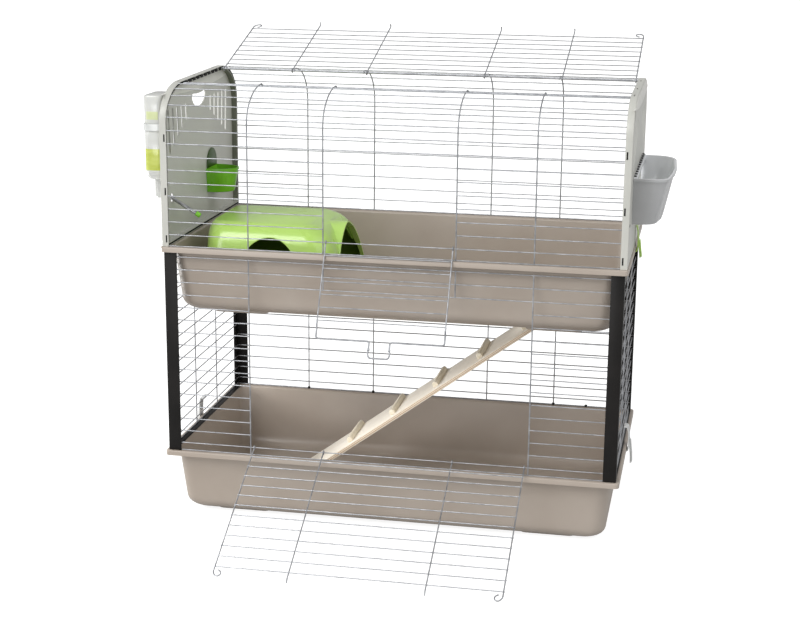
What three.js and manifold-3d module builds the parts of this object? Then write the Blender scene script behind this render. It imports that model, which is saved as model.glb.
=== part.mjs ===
// Two-storey cage for ferrets: two deep plastic trays, wire grilles between and above them,
// plastic end panels on top, three wire doors, a ramp, and the fittings that hang in it.
// Units are millimetres. X runs to the right, Y to the back, Z up from the floor.
// The origin is on the floor, under the middle of the lower tray.

import * as THREE from 'three';
import { mergeVertices } from 'three/addons/utils/BufferGeometryUtils.js';
import Module from 'manifold-3d';

const wasm = await Module();
wasm.setup();

// ---------------------------------------------------------------- driving dimensions

// Clearance between two pieces that touch, and play where one moves past another.
const SEAT = 0.3;
const PLAY = 0.8;

// Trays, both alike
const TRAY_LENGTH = 1000;
const TRAY_WIDTH = 540;
const TRAY_DEPTH = 147;
const TRAY_WALL = 3;
const TRAY_CORNER = 10;
const LIP_HEIGHT = 11;
const FLANGE_WIDTH = 18;
const WALL_LEAN = 18;
const WALL_CORNER = 34;
const BASE_ROUNDING = 30;
const FOOT_HEIGHT = 8;
const FOOT_LENGTH = 125;
const FOOT_WIDTH = 70;
const FOOT_FROM_END = 93;
const FOOT_FROM_SIDE = 73;
const MIDDLE_PAD_LENGTH = 140;
const MIDDLE_PAD_WIDTH = 90;
const STOREY_RISE = 460;

// Ramp hatch in the upper tray
const HATCH_LEFT = 200;
const HATCH_RIGHT = 340;
const HATCH_WIDTH = 172;
const COLLAR_HEIGHT = 15;
const COLLAR_WALL = 3;

// Wire
const WIRE = 2.4;
const UPRIGHT_WIRE = 3;
const ROW_PITCH = 28;
const WIRE_FROM_RIM = 11;
const OUTER_UPRIGHT = 306;
const INNER_UPRIGHT = 142;
const SIDE_UPRIGHT = 78;
const LOWER_FIRST_ROW = 18;
const LOWER_ROWS = 16;
const UPPER_FIRST_ROW = 26;
const DOOR_ROWS = 13;
const HATCH_DOOR_ROWS = 7;
const DOOR_GAP = 8;
const UPPER_DOOR_GAP = 6;
const LATCH_HALF = 20;
const LATCH_RISE = 22;
const DOOR_TIP_LIFT = 4;
const UPPER_DOOR_LEAN = 27;
const EYE_WALL = 2.4;
const HOOK_DEPTH = 4;
const LID_HOOK_DEPTH = 7;

// Roof
const BAR = 5;
const FRONT_BAR_BACK = 140;
const FRONT_BAR_HEIGHT = 337;
const REAR_BAR_BACK = 140;
const REAR_BAR_HEIGHT = 342;
const FRONT_CURVE_RISE = 74;
const REAR_CURVE_RISE = 88;
const LID_TILT = 17;
const LID_END_GAP = 3.6;
const LID_SHIFT = 6;
const ROWS_STOP_BEFORE_BAR = 22;

// Posts and side rails of the lower storey
const POST_LEG = 28;
const POST_WALL = 2.5;
const RAIL_WIDTH = 16;
const RAIL_HEIGHT = 3;

// End panels
const PANEL_FROM_RIM = 3;
const PANEL_OVER_WIRE = 3;
const PANEL_DEPTH = 15;
const PANEL_WALL = 2.5;
const PANEL_BAND = 7;
const PANEL_OVER_BAR = 6;
const SLOT_WIDTH = 6;
const AIR_SLOTS = 5;
const AIR_SLOT_FROM_MIDDLE = 88;
const AIR_SLOT_PITCH = 29;
const AIR_SLOT_TOP = 288;
const SHORTEST_AIR_SLOT = 38;
const AIR_SLOT_GROWTH = 15;
const AIR_SLOT_LEAN = 5;
const SHIELD_MIDDLE = 5;
const SHIELD_TOP = 308;

// Ramp
const RAMP_SLOPE = 36.5;
const RAMP_WIDTH = 155;
const RAMP_THICK = 10;
const RAMP_END_X = 320;
const RAMP_END_BELOW = 8;
const CLEAT_LENGTH = 130;
const CLEAT_SIZE = 12;
const CLEAT_PITCH = 123;
const CLEAT_COUNT = 5;
const FIRST_CLEAT_FROM_FOOT = 190;
const CLEAT_SET_BACK = 8;
const HOOK_WIDTH = 44;
const HOOK_THICK = 2;
const HOOK_LAP = 34;
const HOOK_PLAY = 2.4;

// Hide house
const HOUSE_LENGTH = 314;
const HOUSE_WIDTH = 312;
const HOUSE_HEIGHT = 182;
const HOUSE_X = -277;
const HOUSE_Y = -46;
const HOUSE_WALL = 3;
const HOUSE_CORNER = 60;
const HOUSE_DOOR_X = -280;
const HOUSE_DOOR_WIDTH = 120;
const HOUSE_DOOR_HEIGHT = 156;
const TUNNEL_WIDTH = 236;
const TUNNEL_HEIGHT = 166;
const TUNNEL_LIP = 14;
const TUNNEL_RUN = 150;

// Feeder cup
const CUP_Y = 85;
const CUP_WIDTH = 80;
const CUP_REACH = 66;
const CUP_BOTTOM = 64;
const CUP_TOP = 120;
const CUP_WALL = 2.5;
const TONGUE_TOP = 164;
const TONGUE_WIDTH = 72;

// Water bottle
const BOTTLE_FROM_FRONT = 67;
const BOTTLE_WIDTH = 88;
const BOTTLE_THICK = 40;
const BOTTLE_BOTTOM = 137;
const BOTTLE_TOP = 320;
const BOTTLE_CORNER = 12;
const STRAP_HEIGHT = 15;
const STRAP_THICK = 2.5;
const STRAP_AT = 245;
const CAP_RADIUS = 12;
const CAP_BOTTOM = 95;
const TUBE_RADIUS = 4;
const TUBE_DROP = 30;
const TUBE_AT_PANEL = 95;
const TUBE_INSIDE = 64;
const TIP_RADIUS = 5.5;
const TIP_LENGTH = 11;
const TUBE_HOLE = 10;

// Hay rack
const RACK_FRONT_Y = -190;
const RACK_BACK_Y = 170;
const RACK_BOTTOM = 77;
const RACK_TOP = 177;
const RACK_FRONT_REACH = 50;
const RACK_MIDDLE_REACH = 81;
const RACK_BACK_REACH = 73;
const RACK_TAPER = 22;
const RACK_WALL = 2.5;
const RACK_BAND = 9;
const HAY_SLOTS = 9;
const HAY_SLOT_WIDTH = 12;
const HAY_SLOT_PITCH = 34;

// Rim clips
const CLIP_WIDTH = 28;
const CLIP_THICK = 3;
const CLIP_BEAD = 1.6;
const UPPER_CLIP_RISE = 46;
const LOWER_CLIP_ROW = 2;

// Places worked out from the sizes above
const HALF_LENGTH = TRAY_LENGTH / 2;
const HALF_WIDTH = TRAY_WIDTH / 2;
const LOWER_RIM = FOOT_HEIGHT + TRAY_DEPTH;
const UPPER_RIM = LOWER_RIM + STOREY_RISE;
const UPPER_FLOOR = UPPER_RIM - TRAY_DEPTH + TRAY_WALL;
const GRILLE_Y = HALF_WIDTH - WIRE_FROM_RIM;
const GRILLE_X = HALF_LENGTH - WIRE_FROM_RIM;
const POST_FACE_Y = GRILLE_Y + WIRE / 2 + SEAT + POST_WALL;
const POST_FACE_X = GRILLE_X + WIRE / 2 + SEAT + POST_WALL;
const LOWER_PIVOT = LOWER_RIM + LOWER_FIRST_ROW;
const UPPER_PIVOT = UPPER_RIM + UPPER_FIRST_ROW;
const PANEL_FACE = HALF_LENGTH - PANEL_FROM_RIM;
const PANEL_INNER = PANEL_FACE - PANEL_DEPTH;
const PLATE_INNER = PANEL_FACE - PANEL_WALL;
const PANEL_FOOT = UPPER_RIM + SEAT;
const FRONT_BAR_Z = UPPER_RIM + FRONT_BAR_HEIGHT;
const REAR_BAR_Z = UPPER_RIM + REAR_BAR_HEIGHT;
const ROOF_WIRE_END = PANEL_INNER - SEAT;
const LID_HALF_WIDTH = PANEL_INNER - LID_END_GAP - WIRE;
const BOTTLE_Y = BOTTLE_FROM_FRONT - GRILLE_Y - PANEL_OVER_WIRE;
const HOOK_OVER_BAR = BAR / 2 + SEAT + UPRIGHT_WIRE / 2;

// ---------------------------------------------------------------- solids and shapes

function solidFrom(geometry) {
  const bare = new THREE.BufferGeometry();
  bare.setAttribute('position', geometry.getAttribute('position'));
  bare.setIndex(geometry.index);
  const merged = mergeVertices(bare, 1e-3);
  return new wasm.Manifold(new wasm.Mesh({
    numProp: 3,
    vertProperties: new Float32Array(merged.attributes.position.array),
    triVerts: new Uint32Array(merged.index.array),
  }));
}

function geometryFrom(solid) {
  const mesh = solid.getMesh();
  const geometry = new THREE.BufferGeometry();
  geometry.setAttribute('position', new THREE.BufferAttribute(mesh.vertProperties, 3));
  geometry.setIndex(new THREE.BufferAttribute(mesh.triVerts, 1));
  return geometry;
}

function joined(solids) {
  return solids.reduce((whole, solid) => whole.add(solid));
}

// A box between two corners.
function block(x0, x1, y0, y1, z0, z1) {
  const geometry = new THREE.BoxGeometry(x1 - x0, y1 - y0, z1 - z0);
  geometry.translate((x0 + x1) / 2, (y0 + y1) / 2, (z0 + z1) / 2);
  return solidFrom(geometry);
}

// Straight wires along each axis, square in section.
function wireX(x0, x1, y, z, size = WIRE) {
  return block(x0, x1, y - size / 2, y + size / 2, z - size / 2, z + size / 2);
}

function wireY(x, y0, y1, z, size = WIRE) {
  return block(x - size / 2, x + size / 2, y0, y1, z - size / 2, z + size / 2);
}

function wireZ(x, y, z0, z1, size = UPRIGHT_WIRE) {
  return block(x - size / 2, x + size / 2, y - size / 2, y + size / 2, z0, z1);
}

// Prisms of an outline along each axis. The outline is in (y, z), (x, z) or (x, y).
const PRISM_TURNS = {
  x: new THREE.Matrix4().set(0, 0, 1, 0, 1, 0, 0, 0, 0, 1, 0, 0, 0, 0, 0, 1),
  y: new THREE.Matrix4().set(1, 0, 0, 0, 0, 0, -1, 0, 0, 1, 0, 0, 0, 0, 0, 1),
  z: new THREE.Matrix4(),
};

function prism(axis, outline, from, to, hole = null) {
  const shape = new THREE.Shape(outline.map(([a, b]) => new THREE.Vector2(a, b)));
  if (hole) {
    shape.holes.push(new THREE.Path(hole.map(([a, b]) => new THREE.Vector2(a, b))));
  }
  const geometry = new THREE.ExtrudeGeometry(shape, { depth: to - from, bevelEnabled: false });
  geometry.translate(0, 0, axis === 'y' ? -to : from);
  geometry.applyMatrix4(PRISM_TURNS[axis]);
  return solidFrom(geometry);
}

// Points along an elliptical arc, angles in degrees.
function arc(a, b, radiusA, radiusB, start, end, steps) {
  return Array.from({ length: steps + 1 }, (_, i) => {
    const angle = THREE.MathUtils.degToRad(start + (end - start) * i / steps);
    return [a + radiusA * Math.cos(angle), b + radiusB * Math.sin(angle)];
  });
}

function circle(a, b, radius, sides) {
  return arc(a, b, radius, radius, 180 / sides, 360 + 180 / sides, sides).slice(0, sides);
}

// The outline of a wire bent along a path in a plane.
function strip(path, size) {
  const points = path.map(([a, b]) => new THREE.Vector2(a, b));
  const left = [];
  const right = [];
  points.forEach((point, i) => {
    const before = point.clone().sub(points[i - 1] ?? point).normalize();
    const after = (points[i + 1] ?? point).clone().sub(point).normalize();
    const along = before.clone().add(after).normalize();
    const leading = after.lengthSq() ? after : before;
    const reach = size / 2 / Math.max(along.dot(leading), 0.5);
    left.push([point.x - along.y * reach, point.y + along.x * reach]);
    right.push([point.x + along.y * reach, point.y - along.x * reach]);
  });
  return [...left, ...right.reverse()];
}

function bentWireYZ(path, x, size = UPRIGHT_WIRE) {
  return prism('x', strip(path, size), x - size / 2, x + size / 2);
}

function bentWireXZ(path, y, size = UPRIGHT_WIRE) {
  return prism('y', strip(path, size), y - size / 2, y + size / 2);
}

// A skin through closed rings of points, closed by a flat cap at each end.
function loft(rings) {
  const sides = rings[0].length;
  const points = rings.flat();
  const faces = [];
  for (let ring = 0; ring < rings.length - 1; ring += 1) {
    for (let side = 0; side < sides; side += 1) {
      const next = (side + 1) % sides;
      const a = ring * sides + side;
      const b = ring * sides + next;
      faces.push(a, b, b + sides, a, b + sides, a + sides);
    }
  }
  const last = (rings.length - 1) * sides;
  for (let side = 1; side < sides - 1; side += 1) {
    faces.push(0, side + 1, side);
    faces.push(last, last + side, last + side + 1);
  }
  const geometry = new THREE.BufferGeometry();
  geometry.setAttribute('position', new THREE.Float32BufferAttribute(points.flat(), 3));
  geometry.setIndex(faces);
  return solidFrom(geometry);
}

// A level ring: a rectangle with round corners.
function roundedRing(halfX, halfY, corner, z, x = 0, y = 0, steps = 5) {
  const turns = [[1, 1, 0], [-1, 1, 90], [-1, -1, 180], [1, -1, 270]];
  return turns.flatMap(([signX, signY, start]) => {
    const a = x + signX * (halfX - corner);
    const b = y + signY * (halfY - corner);
    return arc(a, b, corner, corner, start, start + 90, steps).map(([u, v]) => [u, v, z]);
  });
}

// ---------------------------------------------------------------- the object

const cage = new THREE.Group();

const PLASTIC = { roughness: 0.45, metalness: 0 };
const METAL = { roughness: 0.3, metalness: 0.9 };
const TAUPE = { color: 0xa39a90, ...PLASTIC };
const BLACK = { color: 0x232122, ...PLASTIC };
const ZINC = { color: 0xc4c6c6, ...METAL };
const PALE_GREY = { color: 0xc4c4c2, ...PLASTIC };
const SMOKE = { color: 0xb4b6b8, ...PLASTIC };
const LIME = { color: 0xa6d865, ...PLASTIC };
const GREEN = { color: 0x4c9a12, ...PLASTIC };
const CLEAR = { color: 0xdfe3dc, ...PLASTIC };
const STEEL = { color: 0xb9bbbc, ...METAL };
const PLYWOOD = { color: 0xe0cda8, roughness: 0.7, metalness: 0 };
const PINE = { color: 0xdacfb4, roughness: 0.7, metalness: 0 };

function addPart(name, solid, look, parent = cage) {
  const mesh = new THREE.Mesh(geometryFrom(solid), new THREE.MeshStandardMaterial(look));
  mesh.name = name;
  parent.add(mesh);
  return mesh;
}

// ---------------------------------------------------------------- trays

// The skin of a tray runs from under the middle, up the outside, round the lip, down the
// inside and over the floor. Each row is [inset from the rim's edge, height, plan corner].
function traySkin(rim) {
  const wallTop = FLANGE_WIDTH;
  const wallFoot = FLANGE_WIDTH + WALL_LEAN;
  const base = rim - TRAY_DEPTH;
  const round = BASE_ROUNDING;
  const outerTurn = [0, 24, 48, 70, 90].map((angle) => {
    const turn = THREE.MathUtils.degToRad(angle);
    return [wallFoot + round * (1 - Math.sin(turn)), base + round * (1 - Math.cos(turn)), WALL_CORNER];
  });
  const inner = round - TRAY_WALL;
  const innerTurn = [90, 70, 48, 24, 0].map((angle) => {
    const turn = THREE.MathUtils.degToRad(angle);
    return [
      wallFoot + TRAY_WALL + inner * (1 - Math.sin(turn)),
      base + TRAY_WALL + inner * (1 - Math.cos(turn)),
      WALL_CORNER - TRAY_WALL,
    ];
  });
  const profile = [
    ...outerTurn,
    [wallTop, rim - TRAY_WALL, WALL_CORNER - 6],
    [TRAY_WALL, rim - TRAY_WALL, TRAY_CORNER - TRAY_WALL],
    [TRAY_WALL, rim - LIP_HEIGHT, TRAY_CORNER - TRAY_WALL],
    [0, rim - LIP_HEIGHT, TRAY_CORNER],
    [0, rim - TRAY_WALL / 2, TRAY_CORNER],
    [TRAY_WALL / 2, rim, TRAY_CORNER - TRAY_WALL / 2],
    [wallTop + TRAY_WALL / 2, rim, WALL_CORNER - 6],
    [wallTop + TRAY_WALL, rim - TRAY_WALL, WALL_CORNER - 6 - TRAY_WALL / 2],
    ...innerTurn,
  ];
  return loft(profile.map(([inset, z, corner]) => (
    roundedRing(HALF_LENGTH - inset, HALF_WIDTH - inset, corner, z)
  )));
}

function trayFeet(rim) {
  const base = rim - TRAY_DEPTH;
  const inside = base + TRAY_WALL / 2;
  const draft = 3;
  const foot = (x, y, length, width) => loft([
    roundedRing(length / 2 - draft, width / 2 - draft, 12, base - FOOT_HEIGHT, x, y, 2),
    roundedRing(length / 2, width / 2, 14, inside, x, y, 2),
  ]);
  const x = HALF_LENGTH - FOOT_FROM_END - FOOT_LENGTH / 2;
  const y = HALF_WIDTH - FOOT_FROM_SIDE - FOOT_WIDTH / 2;
  return [
    foot(x, y, FOOT_LENGTH, FOOT_WIDTH),
    foot(-x, y, FOOT_LENGTH, FOOT_WIDTH),
    foot(x, -y, FOOT_LENGTH, FOOT_WIDTH),
    foot(-x, -y, FOOT_LENGTH, FOOT_WIDTH),
    foot(0, 0, MIDDLE_PAD_LENGTH, MIDDLE_PAD_WIDTH),
  ];
}

addPart('lower_tray', joined([traySkin(LOWER_RIM), ...trayFeet(LOWER_RIM)]), TAUPE);

// The upper tray has a hatch for the ramp, with a low collar that keeps litter in.
const collarTop = UPPER_FLOOR + COLLAR_HEIGHT;
const collar = block(
  HATCH_LEFT - COLLAR_WALL,
  HATCH_RIGHT + COLLAR_WALL,
  -HATCH_WIDTH / 2 - COLLAR_WALL,
  HATCH_WIDTH / 2 + COLLAR_WALL,
  UPPER_FLOOR - TRAY_WALL / 2,
  collarTop,
);
const hatch = block(
  HATCH_LEFT,
  HATCH_RIGHT,
  -HATCH_WIDTH / 2,
  HATCH_WIDTH / 2,
  UPPER_FLOOR - TRAY_WALL - FOOT_HEIGHT,
  collarTop + TRAY_WALL,
);
addPart(
  'upper_tray',
  joined([traySkin(UPPER_RIM), ...trayFeet(UPPER_RIM), collar]).subtract(hatch),
  TAUPE,
);

// ---------------------------------------------------------------- posts and side rails

// Each post is an angle that stands on the lower rim, inside the lip of the upper one.
function post(signX, signY) {
  const x = signX * POST_FACE_X;
  const y = signY * POST_FACE_Y;
  const outline = [
    [x, y],
    [x - signX * POST_LEG, y],
    [x - signX * POST_LEG, y - signY * POST_WALL],
    [x - signX * POST_WALL, y - signY * POST_WALL],
    [x - signX * POST_WALL, y - signY * POST_LEG],
    [x, y - signY * POST_LEG],
  ];
  return prism('z', outline, LOWER_RIM + SEAT, UPPER_RIM - TRAY_WALL - SEAT);
}

addPart('post_front_left', post(-1, -1), BLACK);
addPart('post_front_right', post(1, -1), BLACK);
addPart('post_rear_left', post(-1, 1), BLACK);
addPart('post_rear_right', post(1, 1), BLACK);

function sideRail(sign) {
  const outer = sign * POST_FACE_X;
  const inner = sign * (POST_FACE_X - RAIL_WIDTH);
  const end = POST_FACE_Y - POST_LEG - SEAT;
  const foot = LOWER_RIM + SEAT;
  return block(Math.min(outer, inner), Math.max(outer, inner), -end, end, foot, foot + RAIL_HEIGHT);
}

addPart('side_rail_left', sideRail(-1), BLACK);
addPart('side_rail_right', sideRail(1), BLACK);

// ---------------------------------------------------------------- lower grilles

const lowerRowZ = (row) => LOWER_PIVOT + ROW_PITCH * (row - 1);
const lowerSill = LOWER_RIM + SEAT + WIRE / 2;
const sideSill = LOWER_RIM + SEAT + RAIL_HEIGHT + SEAT + WIRE / 2;
const lowerTop = lowerRowZ(LOWER_ROWS) + WIRE / 2 + 1;
const rowEndX = GRILLE_X + WIRE / 2;
const rowEndY = GRILLE_Y - WIRE / 2 - SEAT;

// The front grille leaves the doorway open: its rows stop at the outer uprights there.
function lowerFrontGrille() {
  const y = -GRILLE_Y;
  const doorTopRow = DOOR_ROWS + 1;
  const wires = [wireX(-rowEndX, rowEndX, y, lowerSill)];
  for (let row = 1; row <= LOWER_ROWS; row += 1) {
    if (row > 1 && row < doorTopRow) {
      wires.push(wireX(-rowEndX, -OUTER_UPRIGHT, y, lowerRowZ(row)));
      wires.push(wireX(OUTER_UPRIGHT, rowEndX, y, lowerRowZ(row)));
    } else {
      wires.push(wireX(-rowEndX, rowEndX, y, lowerRowZ(row)));
    }
  }
  for (const sign of [-1, 1]) {
    wires.push(wireZ(sign * OUTER_UPRIGHT, y, lowerSill, lowerTop));
    wires.push(wireZ(sign * INNER_UPRIGHT, y, lowerRowZ(doorTopRow), lowerTop));
  }
  return joined(wires);
}

function lowerRearGrille() {
  const y = GRILLE_Y;
  const wires = [wireX(-rowEndX, rowEndX, y, lowerSill)];
  for (let row = 1; row <= LOWER_ROWS; row += 1) {
    wires.push(wireX(-rowEndX, rowEndX, y, lowerRowZ(row)));
  }
  for (const x of [-OUTER_UPRIGHT, -INNER_UPRIGHT, INNER_UPRIGHT, OUTER_UPRIGHT]) {
    wires.push(wireZ(x, y, lowerSill, lowerTop));
  }
  return joined(wires);
}

function lowerSideGrille(sign) {
  const x = sign * GRILLE_X;
  const wires = [wireY(x, -rowEndY, rowEndY, sideSill)];
  for (let row = 1; row <= LOWER_ROWS; row += 1) {
    wires.push(wireY(x, -rowEndY, rowEndY, lowerRowZ(row)));
  }
  wires.push(wireZ(x, -SIDE_UPRIGHT, sideSill, lowerTop));
  wires.push(wireZ(x, SIDE_UPRIGHT, sideSill, lowerTop));
  return joined(wires);
}

addPart('lower_front_grille', lowerFrontGrille(), ZINC);
addPart('lower_rear_grille', lowerRearGrille(), ZINC);
addPart('lower_left_grille', lowerSideGrille(-1), ZINC);
addPart('lower_right_grille', lowerSideGrille(1), ZINC);

// ---------------------------------------------------------------- doors

// A door is drawn closed and upright, its pivot on the X axis, and is then swung open.
// Its eyes run round the pivot wire with play, clear of the wire's corners.
function eye(x, boreRadius, wall = EYE_WALL) {
  const half = UPRIGHT_WIRE / 2;
  return prism('x', circle(0, 0, boreRadius + wall, 8), x - half, x + half, circle(0, 0, boreRadius, 8));
}

function doorUpright(x, boreRadius, top) {
  return [eye(x, boreRadius), wireZ(x, 0, boreRadius + EYE_WALL / 2, top)];
}

const rowEyeBore = WIRE * 0.92;
const barEyeBore = BAR / 2 / Math.cos(Math.PI / 8) + SEAT;

// Lower door: four uprights. The outer ones end in loops, and the inner ones bend forward
// at the tip, to be gripped.
const lowerDoorReach = ROW_PITCH * DOOR_ROWS - WIRE / 2 - PLAY;
const lowerDoorHalf = OUTER_UPRIGHT - DOOR_GAP;

function endLoop(x, from, reach) {
  const inwards = -Math.sign(x);
  const height = reach - from - UPRIGHT_WIRE / 2;
  const path = [[0, 0], [0, 0.62], [0.22, 0.92], [0.45, 1], [0.66, 0.84], [0.56, 0.52], [0.36, 0.3]];
  return bentWireXZ(path.map(([a, b]) => [x + inwards * a * height, from + b * height]), 0);
}

function lowerDoor() {
  const lastRow = ROW_PITCH * (DOOR_ROWS - 1);
  const wires = [];
  for (let row = 1; row < DOOR_ROWS; row += 1) {
    wires.push(wireX(-lowerDoorHalf - WIRE, lowerDoorHalf + WIRE, 0, ROW_PITCH * row));
  }
  for (const sign of [-1, 1]) {
    wires.push(...doorUpright(sign * lowerDoorHalf, rowEyeBore, lastRow));
    wires.push(endLoop(sign * lowerDoorHalf, lastRow, lowerDoorReach));
    wires.push(...doorUpright(sign * INNER_UPRIGHT, rowEyeBore, lastRow));
    const tip = [[0, lastRow], [0, lowerDoorReach - 12], [-HOOK_DEPTH, lowerDoorReach - 4]];
    wires.push(bentWireYZ(tip, sign * INNER_UPRIGHT));
  }
  return joined(wires);
}

// It lies open with its tip just above the floor.
const lowerDoorFromVertical = Math.acos((LOWER_PIVOT - DOOR_TIP_LIFT) / lowerDoorReach);
const lowerDoorMesh = addPart('lower_front_door', lowerDoor(), ZINC);
lowerDoorMesh.position.set(0, -GRILLE_Y, LOWER_PIVOT);
lowerDoorMesh.rotation.x = Math.PI - lowerDoorFromVertical;

// Upper door: two uprights, with a latch tongue that stands in front of the leaf.
const upperDoorReach = ROW_PITCH * HATCH_DOOR_ROWS - WIRE / 2 - PLAY;
const upperDoorHalf = INNER_UPRIGHT - UPPER_DOOR_GAP;

function upperDoor() {
  const wires = [];
  for (let row = 1; row < HATCH_DOOR_ROWS; row += 1) {
    wires.push(wireX(-upperDoorHalf, upperDoorHalf, 0, ROW_PITCH * row));
  }
  const topWire = upperDoorReach - WIRE / 2;
  wires.push(wireX(-upperDoorHalf - WIRE / 2, upperDoorHalf + WIRE / 2, 0, topWire));
  for (const sign of [-1, 1]) {
    wires.push(...doorUpright(sign * upperDoorHalf, rowEyeBore, topWire));
    const x = sign * LATCH_HALF;
    wires.push(wireY(x, -HOOK_DEPTH, WIRE / 2, topWire));
    wires.push(block(x - WIRE / 2, x + WIRE / 2, -HOOK_DEPTH - WIRE / 2, -HOOK_DEPTH + WIRE / 2,
      topWire - WIRE / 2, topWire + LATCH_RISE));
  }
  wires.push(wireX(-LATCH_HALF - WIRE / 2, LATCH_HALF + WIRE / 2, -HOOK_DEPTH, topWire + LATCH_RISE));
  return joined(wires);
}

const upperDoorMesh = addPart('upper_front_door', upperDoor(), ZINC);
upperDoorMesh.position.set(0, -GRILLE_Y, UPPER_PIVOT);
upperDoorMesh.rotation.x = Math.PI - THREE.MathUtils.degToRad(UPPER_DOOR_LEAN);

// Roof lid: hinged on the rear bar; its hooks reach over the front bar when it is shut.
const lidReach = Math.hypot(FRONT_BAR_BACK + REAR_BAR_BACK, REAR_BAR_Z - FRONT_BAR_Z);
const lidRows = Math.floor((lidReach - BAR) / ROW_PITCH);

function roofLid() {
  const wires = [];
  for (let row = 1; row <= lidRows; row += 1) {
    wires.push(wireX(-LID_HALF_WIDTH - WIRE, LID_HALF_WIDTH + WIRE, 0, ROW_PITCH * row));
  }
  const lastRow = ROW_PITCH * lidRows;
  const hookAt = lidReach + BAR / 2 + UPRIGHT_WIRE / 2 + PLAY * 2;
  for (const sign of [-1, 1]) {
    wires.push(...doorUpright(sign * LID_HALF_WIDTH, barEyeBore, lastRow));
    wires.push(endLoop(sign * LID_HALF_WIDTH, lastRow, lastRow + ROW_PITCH));
    for (const [upright, shift] of [[OUTER_UPRIGHT, LID_SHIFT], [INNER_UPRIGHT, -LID_SHIFT]]) {
      const x = sign * (upright + shift);
      wires.push(...doorUpright(x, barEyeBore, lastRow));
      const bend = HOOK_DEPTH / 2;
      wires.push(bentWireYZ([
        [0, lastRow], [0, hookAt - bend], [-bend, hookAt], [-LID_HOOK_DEPTH, hookAt],
      ], x));
    }
  }
  return joined(wires);
}

const lidMesh = addPart('roof_lid', roofLid(), ZINC);
lidMesh.position.set(0, REAR_BAR_BACK, REAR_BAR_Z);
lidMesh.rotation.x = THREE.MathUtils.degToRad(LID_TILT - 90);

// ---------------------------------------------------------------- roof bars and upper grilles

function roofBar(y, z) {
  return prism('x', circle(y, z, BAR / 2, 8), -ROOF_WIRE_END, ROOF_WIRE_END);
}

addPart('front_roof_bar', roofBar(-FRONT_BAR_BACK, FRONT_BAR_Z), ZINC);
addPart('rear_roof_bar', roofBar(REAR_BAR_BACK, REAR_BAR_Z), ZINC);

const upperRowZ = (row) => UPPER_PIVOT + ROW_PITCH * (row - 1);
const upperSill = UPPER_RIM + SEAT + WIRE / 2;

// An upright rises from the rim, curves back and hooks over its bar from above.
// The path is in (y, z), from the rim to the hook.
function curvedUpright(side, barBack, barZ, rise) {
  const start = GRILLE_Y;
  const curveTop = barZ + HOOK_OVER_BAR;
  const sweep = arc(barBack, curveTop - rise, start - barBack, rise, 0, 90, 9);
  const hook = arc(barBack, barZ, HOOK_OVER_BAR, HOOK_OVER_BAR, 120, 210, 3);
  return [[start, upperSill], ...sweep, ...hook].map(([y, z]) => [side * y, z]);
}

// Heights and depths of the rows that a curved upright carries above its straight part.
function rowsAlong(path) {
  const places = [];
  let next = UPPER_PIVOT;
  let travelled = path[0][1];
  for (let i = 0; i < path.length - 1; i += 1) {
    const [y0, z0] = path[i];
    const [y1, z1] = path[i + 1];
    const length = Math.hypot(y1 - y0, z1 - z0);
    while (next <= travelled + length) {
      const share = (next - travelled) / length;
      places.push([y0 + (y1 - y0) * share, z0 + (z1 - z0) * share]);
      next += ROW_PITCH;
    }
    travelled += length;
  }
  return places;
}

function upperGrille(side, barBack, barZ, rise, hasDoorway) {
  const path = curvedUpright(side, barBack, barZ, rise);
  const sweepOnly = path.slice(0, path.length - 4);
  const doorTopRow = HATCH_DOOR_ROWS + 1;
  const wires = [wireX(-ROOF_WIRE_END, ROOF_WIRE_END, side * GRILLE_Y, upperSill)];
  rowsAlong(sweepOnly).forEach(([y, z], i) => {
    const row = i + 1;
    if (Math.abs(y - side * barBack) < ROWS_STOP_BEFORE_BAR) {
      return;
    }
    if (hasDoorway && row > 1 && row < doorTopRow) {
      wires.push(wireX(-ROOF_WIRE_END, -INNER_UPRIGHT, y, z));
      wires.push(wireX(INNER_UPRIGHT, ROOF_WIRE_END, y, z));
    } else {
      wires.push(wireX(-ROOF_WIRE_END, ROOF_WIRE_END, y, z));
    }
  });
  for (const x of [-OUTER_UPRIGHT, -INNER_UPRIGHT, INNER_UPRIGHT, OUTER_UPRIGHT]) {
    wires.push(bentWireYZ(path, x));
  }
  return joined(wires);
}

addPart(
  'upper_front_grille',
  upperGrille(-1, FRONT_BAR_BACK, FRONT_BAR_Z, FRONT_CURVE_RISE, true),
  ZINC,
);
addPart(
  'upper_rear_grille',
  upperGrille(1, REAR_BAR_BACK, REAR_BAR_Z, REAR_CURVE_RISE, false),
  ZINC,
);

// ---------------------------------------------------------------- end panels

// The outline of an end panel in (y, z), drawn in from its edge by an inset. Its two top
// corners follow the curves of the grilles, so that every wire ends on its band.
function panelOutline(inset) {
  const front = -GRILLE_Y - PANEL_OVER_WIRE + inset;
  const back = GRILLE_Y + PANEL_OVER_WIRE - inset;
  const frontTop = FRONT_BAR_Z + PANEL_OVER_BAR - inset;
  const rearTop = REAR_BAR_Z + PANEL_OVER_BAR - inset;
  const frontRise = FRONT_CURVE_RISE + PANEL_OVER_BAR - HOOK_OVER_BAR - inset;
  const rearRise = REAR_CURVE_RISE + PANEL_OVER_BAR - HOOK_OVER_BAR - inset;
  const foot = PANEL_FOOT + inset;
  return [
    [front, foot],
    [back, foot],
    ...arc(REAR_BAR_BACK, rearTop - rearRise, back - REAR_BAR_BACK, rearRise, 0, 90, 8),
    ...arc(-FRONT_BAR_BACK, frontTop - frontRise, -FRONT_BAR_BACK - front, frontRise, 90, 180, 8),
  ];
}

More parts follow.
